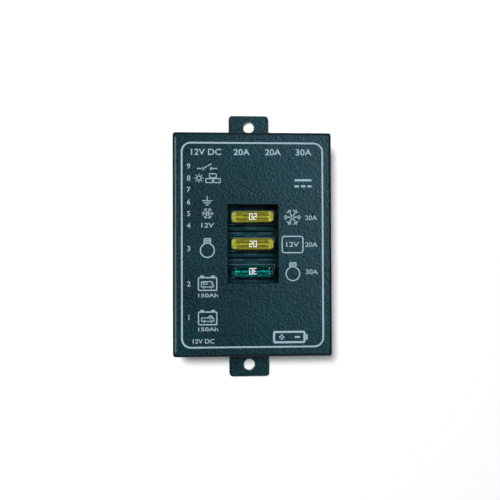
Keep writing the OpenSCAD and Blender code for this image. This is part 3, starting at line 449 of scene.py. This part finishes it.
def arc(cx, cy, r, a0, a1, n=24):
    """Points of a circle's arc from angle a0 to a1 in degrees."""
    a = np.radians(np.linspace(a0, a1, n + 1))
    return np.column_stack([cx + r * np.cos(a), cy + r * np.sin(a)])


def rounded_loop(cx, cy, w, h, r, n=10):
    """Points round a rectangle with round corners."""
    x, y = w / 2 - r, h / 2 - r
    return np.concatenate([arc(cx + sx * x, cy + sy * y, r, a, a + 90, n)
                           for sx, sy, a in ((1, 1, 0), (-1, 1, 90), (-1, -1, 180), (1, -1, 270))])


def disc(cx, cy, r, n=24):
    """A printed dot: a ring of points and its flat top and underside."""
    a = np.linspace(0, 2 * math.pi, n, endpoint=False)
    ring = np.column_stack([cx + r * np.cos(a), cy + r * np.sin(a)])
    pts = np.concatenate([np.column_stack([ring, np.full(n, z)]) for z in (INK_Z0, INK_Z1)])
    faces = [tuple(f) for f in grid_faces(2, n, wrap_cols=True)]
    return pts, faces + [tuple(range(n))[::-1], tuple(range(n, 2 * n))]


def toward(angle):
    """The flat unit vector at an angle in radians."""
    return np.array([math.cos(angle), math.sin(angle)])


def snowflake(cx, cy, r, width):
    """Six arms from near the centre, each with a pair of side twigs 0.85 radians off it."""
    centre = np.array([cx, cy])
    made = []
    for a in np.radians(np.arange(6) * 60):
        made.append(ribbon([centre + 0.12 * r * toward(a), centre + r * toward(a)], width))
        root = centre + 0.6 * r * toward(a)
        for turn in (-0.85, 0.85):
            made.append(ribbon([root, root + 0.38 * r * toward(a + turn)], width * 0.9))
    return made


def sun(cx, cy, r, width):
    """An open ring with eight short rays round it."""
    centre = np.array([cx, cy])
    made = [ribbon(arc(cx, cy, r, 0, 345, 23), width, closed=True)]
    for a in np.radians(np.arange(8) * 45):
        made.append(ribbon([centre + (r + 0.4) * toward(a), centre + (r + 1.1) * toward(a)],
                           width * 0.9))
    return made


def lines(width, *ends):
    """Straight strokes of one width, each from (x0, y0) to (x1, y1)."""
    return [ribbon([(x0, y0), (x1, y1)], width) for x0, y0, x1, y1 in ends]


def bulb(cx, cy, r, neck_top, width):
    """A lamp: a round glass open at the top, running into a ribbed cap."""
    half = r * 0.42
    a = math.degrees(math.acos(half / r))
    top = cy + r * math.sin(math.radians(a)) + r * 0.12
    glass = arc(cx, cy, r, a, -180 - a, 40)
    cap = rounded_loop(cx, (top + neck_top) / 2, 2 * half + width * 0.6, neck_top - top,
                       width * 0.9, 4)
    made = [ribbon(np.concatenate([[(cx + half, top)], glass, [(cx - half, top)]]), width),
            ribbon(cap, width * 0.9, closed=True)]
    step = (neck_top - top) / 3
    for y in (top + step, top + 2 * step):
        made += lines(width * 0.7, (cx - half, y - 0.1, cx + half, y + 0.1))
    return made


def battery(cx, cy, w, h, width):
    """A battery seen from its side, with its two posts on top."""
    made = [ribbon(rounded_loop(cx, cy, w, h, 0.35, 4), width, closed=True)]
    post_y = cy + h / 2 + 0.55
    for x in (cx - 0.3 * w, cx + 0.3 * w):
        made += lines(0.8, (x - 0.8, post_y, x + 0.8, post_y))
    return made


def camper(cx, cy, w, van=False):
    """A small motorhome (cab, overhang and window) or a van with a sloping nose, on two wheels."""
    h = w * 0.44
    if van:
        body = [(-0.5, 0), (-0.5, 0.62), (0.0, 0.62), (0.16, 1.0), (0.34, 1.0), (0.5, 0.45), (0.5, 0)]
        inside = [(0.12, 0.5), (0.2, 0.82), (0.3, 0.82), (0.38, 0.5)]
    else:
        body = [(-0.5, 0), (-0.5, 1.0), (0.38, 1.0), (0.44, 0.66), (0.3, 0.62), (0.5, 0.36), (0.5, 0)]
        inside = [(-0.36, 0.5), (-0.36, 0.78), (-0.02, 0.78), (-0.02, 0.5)]
    made = [ribbon([(cx + x * w, cy + y * h) for x, y in body], 0.36, closed=True),
            ribbon([(cx + x * w, cy + y * h) for x, y in inside], 0.26, closed=True)]
    for s in (-0.28, 0.28):
        made.append(disc(cx + s * w, cy - 0.05, 0.58, 16))
    return made


# Places of the print: the frame, the nine terminals' numbers and the columns, and its lines
FRAME_Y, FRAME_W, FRAME_H, FRAME_R = -0.26, 62.9, 90.85, 4.0
TERMINAL_Y = {9: 34.74, 8: 29.40, 7: 24.32, 6: 18.80, 5: 13.64, 4: 8.38,
              3: -1.86, 2: -17.48, 1: -32.40}
NUMBER_X, SIGN_X, FUSE_SIGN_X, RATING_X = -28.4, -20.1, 17.85, 23.6
LINE, BOLD, HEAVY = 0.42, 0.5, 0.9


def switch(x, y):
    """An open switch: two lead wires, two contact dots and a raised arm between them."""
    left, right = x - 1.9, x + 1.75
    made = lines(LINE, (x - 4.6, y, left, y), (left, y, x + 2.0, y + 2.2), (right, y, x + 4.4, y))
    return made + [disc(left, y, 0.62), disc(right, y, 0.62)]


def sun_and_panels(x, y):
    """A sun beside three small panels, one over two."""
    made = sun(x - 3.72, y, 0.95, LINE * 0.9)
    for across, up in ((2.5, 1.1), (0.8, -1.1), (4.25, -1.1)):
        panel = rounded_loop(x + across, y + up, 3.0, 1.75, 0.25, 3)
        made.append(ribbon(panel, LINE * 0.9, closed=True))
    return made


def earth(x, y):
    """An earth sign: a stem over three bars that get shorter."""
    made = lines(LINE, (x, y + 2.1, x, y + 0.1))
    for half, drop in ((2.3, 0.0), (1.5, 0.95), (0.7, 1.85)):
        made += lines(LINE, (x - half, y - drop, x + half, y - drop))
    return made


def direct_current(x, y):
    """A direct current sign: a long bar over three short ones."""
    made = lines(HEAVY, (x, y, x + 7.6, y))
    for start in (x, x + 2.85, x + 5.7):
        made += lines(HEAVY, (start, y - 2.7, start + 1.9, y - 2.7))
    return made


def cell(x, y):
    """A cell on its side, with its end post, a plus and a minus."""
    body = ribbon(rounded_loop(x, y, 13.6, 4.6, 0.5, 4), HEAVY, closed=True)
    post = lines(1.1, (x + 7.7, y - 1.2, x + 7.7, y + 1.2))
    poles = lines(0.8, (x - 4.6, y, x - 2.2, y), (x - 3.4, y - 1.2, x - 3.4, y + 1.2),
                  (x + 2.4, y, x + 4.8, y))
    return [body] + post + poles


signs = [ribbon(rounded_loop(0.0, FRAME_Y, FRAME_W, FRAME_H, FRAME_R, 16), 0.74, closed=True)]
signs += switch(SIGN_X, TERMINAL_Y[9] - 1.04)
signs += sun_and_panels(SIGN_X, TERMINAL_Y[8])
signs += earth(SIGN_X - 0.1, TERMINAL_Y[6] + 0.5)
signs += snowflake(SIGN_X + 0.11, TERMINAL_Y[5] + 0.04, 2.5, 0.52)
signs += bulb(SIGN_X - 0.07, TERMINAL_Y[3] - 0.84, 3.1, 2.5, BOLD)
for y, van in ((TERMINAL_Y[2] - 0.12, False), (TERMINAL_Y[1] - 0.4, True)):
    signs += battery(SIGN_X, y, 8.1, 5.6, BOLD) + camper(SIGN_X, y - 1.3, 5.4, van)
signs += snowflake(FUSE_SIGN_X, row_y(ROWS["upper"]) - 0.52, 3.8, BOLD)
signs.append(ribbon(rounded_loop(FUSE_SIGN_X, row_y(ROWS["middle"]) - 0.42, 9.35, 7.3, 1.1, 8),
                    BOLD, closed=True))
signs += bulb(FUSE_SIGN_X + 0.09, row_y(ROWS["lower"]) - 1.2, 3.05, -8.3, BOLD)
signs += direct_current(18.9, 28.6)
signs += cell(16.2, -41.4)
add_piece("face_signs", signs, "housing", print_ink)


def lettering(name, rows, body, material, weight=0.012):
    """Plain numbers and units: each row is (text, x, y, height, width or 0, align), and its
    letters are scaled to that height and width, between the ink's two levels."""
    meshes = []
    for text, x, y, height, width, align in rows:
        curve = bpy.data.curves.new(name + "_curve", "FONT")
        curve.body = text
        curve.resolution_u = 4
        curve.offset = weight
        curve.extrude = 0.5
        holder = bpy.data.objects.new(name + "_text", curve)
        bpy.context.scene.collection.objects.link(holder)
        bpy.context.view_layer.update()
        graph = bpy.context.evaluated_depsgraph_get()
        mesh = bpy.data.meshes.new_from_object(holder.evaluated_get(graph))
        bpy.data.objects.remove(holder)
        co = np.zeros(len(mesh.vertices) * 3, np.float32)
        mesh.vertices.foreach_get("co", co)
        co = co.reshape(-1, 3).astype(float)
        low, high = co.min(0), co.max(0)
        scale_y = height / (high[1] - low[1])
        scale_x = width / (high[0] - low[0]) if width else scale_y
        middle = (low[0] + high[0]) / 2 if align == "C" else low[0]
        pts = np.column_stack([(co[:, 0] - middle) * scale_x + x, (co[:, 1] - low[1]) * scale_y + y,
                               np.where(co[:, 2] > 0, INK_Z1, INK_Z0)])
        meshes.append((pts, [tuple(f.vertices) for f in mesh.polygons]))
        bpy.data.meshes.remove(mesh)
    return add_piece(name, meshes, body, material, sharp=30)


NUMBER_H, TOP_ROW_H, RATING_H, CAPACITY_H = 2.35, 2.8, 2.1, 1.7
TOP_ROW_Y = 39.7
numbers = [(str(number), NUMBER_X, y - NUMBER_H / 2, NUMBER_H, 0, "C")
           for number, y in TERMINAL_Y.items()]
numbers += [(text, x, TOP_ROW_Y, TOP_ROW_H, width, "L") for text, x, width in
            (("12V DC", -27.3, 13.4), ("20A", -8.4, 7.2), ("20A", 5.6, 7.2), ("30A", 19.4, 7.2))]
numbers += [("20A", RATING_X, row_y(ROWS["upper"]) - 1.81, RATING_H, 5.4, "L"),
            ("20A", RATING_X, row_y(ROWS["middle"]) - 1.5, RATING_H, 5.4, "L"),
            ("30A", RATING_X + 0.1, row_y(ROWS["lower"]) - 1.4, 2.2, 5.5, "L"),
            ("12V", FUSE_SIGN_X, row_y(ROWS["middle"]) - 1.45, 2.2, 5.8, "C"),
            ("12V", SIGN_X + 0.1, TERMINAL_Y[4] - 0.98, RATING_H, 5.6, "C"),
            ("12V DC", -26.7, -43.9, 2.0, 9.6, "L")]
numbers += [("150Ah", -24.3, y, CAPACITY_H, 8.8, "L") for y in (-23.5, -38.5)]
lettering("face_numbers", numbers, "housing", print_ink)


# Sockets: painted highlights on the rims, and painted shade in the gaps and at the case's parting
# line
def socket_rims():
    """For each fuse, painted highlights: a pale rim round the collar, two pale strips along the
    shoulder above it and a short pale ledge on the shoulder below it."""
    made = []
    for row in ROWS.values():
        y = row_y(row)
        made.append(ribbon(rounded_loop(WINDOW_X, y, 21.1, 6.2, 0.5, 4), 0.34, closed=True,
                           z0=COLLAR_Z - 0.05, z1=COLLAR_Z + 0.03))
        top, low = y + FUSE_PITCH / 2 - 0.8, y - FUSE_PITCH / 2 + 1.5
        for x0, x1 in ((-9.8, -3.4), (3.8, 9.6)):
            made.append(ribbon([(x0, top), (x1, top)], 0.3,
                               z0=SHOULDER_Z - 0.05, z1=SHOULDER_Z + 0.04))
        made.append(ribbon([(WINDOW_X - 2.75, low), (WINDOW_X + 2.75, low)], 0.26,
                           z0=SHOULDER_Z + 0.3, z1=SHOULDER_Z + 0.44))
    return made


def socket_gaps():
    """Painted shade: dark lines between sockets, round each collar's foot, and at both ends of a
    fuse.
    """
    made = []
    for row in (0.5, -0.5):
        ends = [(WINDOW_X + x, row_y(row)) for x in (-11.3, 11.3)]
        made.append(ribbon(ends, 0.75, z0=SHOULDER_Z - 0.3, z1=SHOULDER_Z + 0.02))
    for row in ROWS.values():
        y = row_y(row)
        for side in (-1, 1):
            near, far = WINDOW_X + side * 8.9, WINDOW_X + side * 10.05
            bracket = [(near, y + 2.75), (far, y + 2.75), (far, y - 2.75), (near, y - 2.75)]
            made.append(ribbon(bracket, 0.5, z0=COLLAR_Z - 0.3, z1=COLLAR_Z + 0.02))
        made.append(ribbon(rounded_loop(WINDOW_X, y, 22.1, 7.3, 0.6, 4), 0.5, closed=True,
                           z0=SHOULDER_Z - 0.3, z1=SHOULDER_Z + 0.03))
    return made


def parting_gap(inset=0.18, width=0.4):
    """Painted shade of the parting line: a dark band round the top of the base, just proud of its
    walls.
    """
    outline = rounded_loop(0.0, 0.0, CASE_W - 2 * inset, CASE_H - 2 * inset, CORNER_R - inset, 8)
    return ribbon(outline, width, closed=True, z0=SEAM_Z - 0.25, z1=SEAM_Z)


add_piece("socket_rims", socket_rims(), "housing", painted_rim_highlight, sharp=30)
add_piece("socket_gaps", socket_gaps(), "housing", painted_gap_shade, sharp=30)
add_piece("parting_gap", [parting_gap()], "housing", painted_gap_shade, sharp=30)


# Fuses
def turned(flat, angle):
    """Points turned about the origin by an angle in radians."""
    c, s = math.cos(angle), math.sin(angle)
    return np.column_stack([flat[:, 0] * c - flat[:, 1] * s, flat[:, 0] * s + flat[:, 1] * c])


def rounded_ring(w, h, r):
    """Points round a rectangle w x h with corner radius r: quarter circles, with the long sides
    sampled at 39 shares of their length and the short sides at three."""
    r = max(r, 1e-4)
    x, y = max(w / 2 - r, 1e-5), max(h / 2 - r, 1e-5)
    along = np.linspace(-1, 1, 41)[1:-1] * x
    across = np.array([-0.5, 0, 0.5]) * y
    right = np.column_stack([np.full(3, w / 2), across])
    top = np.column_stack([along[::-1], np.full(len(along), h / 2)])
    return np.concatenate([arc(x, -y, r, 270, 360, 8), right, arc(x, y, r, 0, 90, 8), top,
                           arc(-x, y, r, 90, 180, 8), -right, arc(-x, -y, r, 180, 270, 8), -top])


def smooth(t):
    """The smooth step 3t^2 - 2t^3 of t held between 0 and 1."""
    t = np.clip(t, 0, 1)
    return t * t * (3 - 2 * t)


def fuse_shell(y0, tilt):
    """Fuse body: rounded rings from the foot of the skirt up the head's sides, over a rounded
    edge and in to the middle line. The deck's height follows from x and y: full height in the
    two end lobes and along a narrow middle rib, lower in the channels between them."""
    rings = []

    def ring(w, h, r, z):
        flat = rounded_ring(w, h, r)
        rings.append(np.column_stack([flat, np.full(len(flat), z)]))

    def head_ring(inset, z):
        ring(FUSE_HEAD_W - 2 * inset, FUSE_HEAD_T - 2 * inset, FUSE_HEAD_R - inset, z)

    for z, grow in ((FUSE_BASE_Z, -0.3), (FUSE_BASE_Z + 0.15, 0.0), (FUSE_HEAD_Z - 0.25, 0.0),
                    (FUSE_HEAD_Z - 0.05, 0.1)):
        ring(SKIRT_W + 2 * grow, SKIRT_T + 2 * grow, 0.5, z)
    lower_edge, upper_edge = 0.3, 0.55
    for a in np.radians(np.linspace(0, 90, 5)):
        head_ring(lower_edge * (1 - math.sin(a)), FUSE_HEAD_Z + lower_edge * (1 - math.cos(a)))
    for a in np.radians(np.linspace(0, 90, 8)):
        head_ring(upper_edge * (1 - math.cos(a)), FUSE_TOP_Z - upper_edge * (1 - math.sin(a)))
    for inset in np.linspace(upper_edge, FUSE_HEAD_T / 2 - 0.001, 22)[1:]:
        head_ring(inset, FUSE_TOP_Z)
    pts = np.stack(rings)
    x, y, z = pts[..., 0], pts[..., 1], pts[..., 2]
    lobe = smooth((np.abs(x) - 7.3) / 0.35)
    rib = 1 - smooth((np.abs(y) - 0.55) / 0.3)
    rim = smooth((np.abs(y) - 1.75) / 0.3)
    channel = (1 - np.maximum(np.maximum(lobe, rib), rim)) * (z > FUSE_TOP_Z - 0.01)
    z = z - DECK_DROP * channel
    rows, cols = x.shape
    flat = turned(np.column_stack([x.ravel(), y.ravel()]), tilt) + (WINDOW_X, y0)
    pts = np.column_stack([flat, z.ravel()])
    faces = [tuple(f) for f in grid_faces(rows, cols, wrap_cols=True)]
    faces.append(tuple(range(cols))[::-1])
    return pts.reshape(-1, 3), faces


STROKES = {
    "0": [[(0, 0), (0, 1), (1, 1), (1, 0)]],
    "2": [[(0, 1), (1, 1), (1, 0.5), (0, 0.5), (0, 0), (1, 0)]],
    "3": [[(0, 1), (1, 1), (1, 0), (0, 0)], [(0.25, 0.5), (1, 0.5)]],
}


def fuse_digits(place, text, y0, turn):
    """Square moulded digits drawn in strokes, turned about the fuse's middle by an angle."""
    made = []
    wide, tall, gap, stroke = 1.25, 2.55, 0.68, 0.31
    for i, digit in enumerate(text):
        left = (i - len(text) / 2) * (wide + gap) + gap / 2
        for path in STROKES[digit]:
            flat = np.array([(left + x * wide, (y - 0.5) * tall) for x, y in path])
            flat = turned(flat, turn) + (WINDOW_X + 0.15, y0)
            made.append(ribbon(flat, stroke, closed=digit == "0",
                               z0=FUSE_TOP_Z - 0.5, z1=FUSE_TOP_Z + 0.03))
    add_piece(f"fuse_digits_{place}", made, f"{place}_fuse",
              white_ink, sharp=30)


def mark_fuse_tone(piece, y0, tilt, lobe_share, shade):
    """Writes the attribute tone, 0 deep to 1 pale, from each point's place on the fuse: pale
    end lobes and middle rib, deep bands on both sides of the rib and half-pale long edges,
    less a shade over the half above the rib."""
    co = points_of(piece.data)
    flat = turned(co[:, :2] - (WINDOW_X, y0), -tilt)
    x, y = np.abs(flat[:, 0]), flat[:, 1]
    lobe = smooth((x - 7.2) / 0.6)
    rib = np.exp(-((y + 0.2) / 0.22) ** 2)
    bands = np.exp(-((y - 0.75) / 0.3) ** 2) + 0.8 * np.exp(-((y + 1.0) / 0.35) ** 2)
    rim = smooth((np.abs(y) - 1.7) / 0.5)
    tone = 0.45 + lobe_share * lobe + (1 - lobe) * (0.55 * rib - 0.45 * bands + 0.1 * rim)
    tone -= shade * smooth((y - 0.1) / 0.5)
    tone = np.where(co[:, 2] < FUSE_HEAD_Z + 3.0, 0.15, tone)
    mark = piece.data.attributes.new("tone", "FLOAT", "POINT")
    mark.data.foreach_set("value", np.clip(tone, 0, 1).astype(np.float32))


def add_fuse(place, material, text, tilt=0.0, over=False, lobe_share=0.45, shade=0.0):
    """One fuse's moulded shell and its digits, set in with a tilt and, over, turned round."""
    y0 = row_y(ROWS[place])
    shell = add_piece(f"fuse_shell_{place}", [fuse_shell(y0, tilt)], f"{place}_fuse",
                      material,
                      replaces=(f"fuse_body_{place}",), sharp=40)
    mark_fuse_tone(shell, y0, tilt, lobe_share, shade)
    fuse_digits(place, text, y0, tilt + math.pi * over)


add_fuse("upper", yellow_fuse, "20", tilt=UPPER_TILT, over=True)
add_fuse("middle", yellow_fuse, "20")
add_fuse("lower", green_fuse, "30", over=True, lobe_share=-0.15, shade=0.35)


# Windings
def winding(low, high, inner, turns=22, around=40, per_turn=6, groove=0.3):
    """A wound coil between two corners: its radius is the box's, less a groove whose depth is
    a share of the pitch times 1 - |cos(pi p)|, where p is the height in turns less the share
    of a round passed, so that the groove climbs one pitch each time round. Flat ends and a
    plain bore close it."""
    centre = (low + high) / 2
    radius = (high[0] - low[0]) / 2
    pitch = (high[2] - low[2]) / turns
    z = np.linspace(low[2], high[2], turns * per_turn + 1)[:, None]
    angle = np.linspace(0, 2 * math.pi, around, endpoint=False)[None, :]
    phase = (z - low[2]) / pitch - angle / (2 * math.pi)
    outer = radius - groove * pitch * (1 - np.abs(np.cos(math.pi * phase)))
    outer[[0, -1]] = radius - groove * pitch
    radii = np.concatenate([outer, np.full((2, around), inner)])
    heights = np.concatenate([z, [[high[2]], [low[2]]]]) + 0 * angle
    pts = np.stack([centre[0] + radii * np.cos(angle), centre[1] + radii * np.sin(angle),
                    heights], -1)
    faces = grid_faces(*radii.shape, wrap_rows=True, wrap_cols=True)
    return pts.reshape(-1, 3), faces


for relay in ("fridge", "battery"):
    low, high = (np.array(corner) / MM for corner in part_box(f"{relay}_winding"))
    flat = points_of(frame["nodes"][f"{relay}_winding"].data)[:, :2] - ((low + high) / 2)[:2]
    inner = np.linalg.norm(flat, axis=1).min()
    add_piece(f"{relay}_winding_turns", [winding(low, high, inner)], "housing",
              copper, replaces=(f"{relay}_winding",), sharp=60)


# Floor
FLOOR_HALF, FLOOR_Z = 3.0, -5e-5
floor_mesh = bpy.data.meshes.new("floor")
corners = [(x * FLOOR_HALF, y * FLOOR_HALF, FLOOR_Z)
           for x, y in ((-1, -1), (1, -1), (1, 1), (-1, 1))]
floor_mesh.from_pydata(corners, [], [(0, 1, 2, 3)])
floor = bpy.data.objects.new("floor", floor_mesh)
bpy.context.scene.collection.objects.link(floor)
paper = bpy.data.materials.new("white_paper")
paper.use_nodes = True
tree = paper.node_tree
tree.nodes.clear()
out = tree.nodes.new("ShaderNodeOutputMaterial")
matte = node(tree, "ShaderNodeBsdfDiffuse", Color=(0.85, 0.85, 0.86, 1))
glow = node(tree, "ShaderNodeEmission", Color=(1, 1, 1, 1))
rays = tree.nodes.new("ShaderNodeLightPath").outputs
where = tree.nodes.new("ShaderNodeTexCoord")
seen = node(tree, "ShaderNodeMath", [(0, rays["Is Camera Ray"]), (1, rays["Is Glossy Ray"])],
            operation="MAXIMUM")
seen = node(tree, "ShaderNodeMath", [(0, seen.outputs[0]), (1, rays["Is Transmission Ray"])],
            operation="MAXIMUM")
distance = node(tree, "ShaderNodeVectorMath", [(0, where.outputs["Object"])], operation="LENGTH")
whiter = node(tree, "ShaderNodeMapRange", [("Value", distance.outputs["Value"])],
              interpolation_type="SMOOTHSTEP",
              From_Min=0.15, From_Max=1.2, To_Min=0.10, To_Max=0.95)
level = node(tree, "ShaderNodeMath", [(0, seen.outputs[0]), (1, whiter.outputs[0])],
             operation="MULTIPLY")
tree.links.new(level.outputs[0], glow.inputs["Strength"])
add = node(tree, "ShaderNodeAddShader", [(0, matte.outputs[0]), (1, glow.outputs[0])])
tree.links.new(add.outputs[0], out.inputs[0])
floor.data.materials.append(paper)

# World: white to the camera, a pale patch of ceiling in glossy reflections, dim otherwise
CEILING = Vector((0.59, 0.21, 0.85)).normalized()
world = bpy.data.worlds.new("studio")
bpy.context.scene.world = world
world.use_nodes = True
tree = world.node_tree
tree.nodes.clear()
out = tree.nodes.new("ShaderNodeOutputWorld")
rays = tree.nodes.new("ShaderNodeLightPath")
where = tree.nodes.new("ShaderNodeTexCoord")
overhead = node(tree, "ShaderNodeVectorMath", [(0, where.outputs["Generated"])],
                operation="DOT_PRODUCT")
overhead.inputs[1].default_value = CEILING
sheen = node(tree, "ShaderNodeMapRange", [("Value", overhead.outputs["Value"])],
             interpolation_type="SMOOTHSTEP",
             From_Min=0.86, From_Max=0.965, To_Min=0.01, To_Max=4.6)
ceiling = node(tree, "ShaderNodeBackground", [("Strength", sheen.outputs[0])],
               Color=(0.46, 0.80, 1.0, 1))
dim = node(tree, "ShaderNodeBackground", Color=(0.94, 0.98, 1.0, 1), Strength=0.16)
room = node(tree, "ShaderNodeMixShader", [(0, rays.outputs["Is Glossy Ray"]), (1, dim.outputs[0]),
                                          (2, ceiling.outputs[0])])
white = node(tree, "ShaderNodeBackground", Color=(1, 1, 1, 1), Strength=1.0)
mix = node(tree, "ShaderNodeMixShader", [(0, rays.outputs["Is Camera Ray"]), (1, room.outputs[0]),
                                         (2, white.outputs[0])])
tree.links.new(mix.outputs[0], out.inputs[0])


# Lamps: one that lights the form, and one that only shows in glossy reflections
def lamp(name, place, size, watts):
    """A white softbox, width by height, at a place in metres, aimed at the middle of the case."""
    light = bpy.data.lights.new(name, "AREA")
    light.shape = "RECTANGLE"
    light.size, light.size_y = size
    light.energy = watts
    holder = bpy.data.objects.new(name, light)
    bpy.context.scene.collection.objects.link(holder)
    holder.location = place
    aim = Vector((0, 0, 0.02)) - Vector(place)
    holder.rotation_euler = aim.to_track_quat("-Z", "Y").to_euler()
    return holder


key = lamp("key", (-0.185, 0.155, 1.0), (0.16, 0.16), 11.0)
key.visible_glossy = False
strip = lamp("strip", (-0.80, 0.05, 0.80), (0.22, 0.6), 5.0)
strip.visible_diffuse = False


# Camera
CAMERA_OFFSET = Vector((1.20, 2.57, -337.0))


def rotation(yaw, pitch, roll):
    """The turn Rz(roll) Ry(yaw) Rx(pitch), angles in degrees."""
    return (Matrix.Rotation(math.radians(roll), 3, "Z") @ Matrix.Rotation(math.radians(yaw), 3, "Y")
            @ Matrix.Rotation(math.radians(pitch), 3, "X"))


camera_data = bpy.data.cameras.new("camera")
camera_data.lens = 54.5
camera_data.sensor_width = 36.0
camera_data.clip_start = 0.01
camera = bpy.data.objects.new("camera", camera_data)
bpy.context.scene.collection.objects.link(camera)
turn = rotation(3.77, -1.05, 0.14).transposed()
centre = Vector((0, 0, CASE_T)) - turn @ CAMERA_OFFSET
camera.matrix_world = Matrix.Translation(centre * MM) @ turn.to_4x4()
bpy.context.scene.camera = camera

bpy.context.scene.view_settings.view_transform = "Standard"
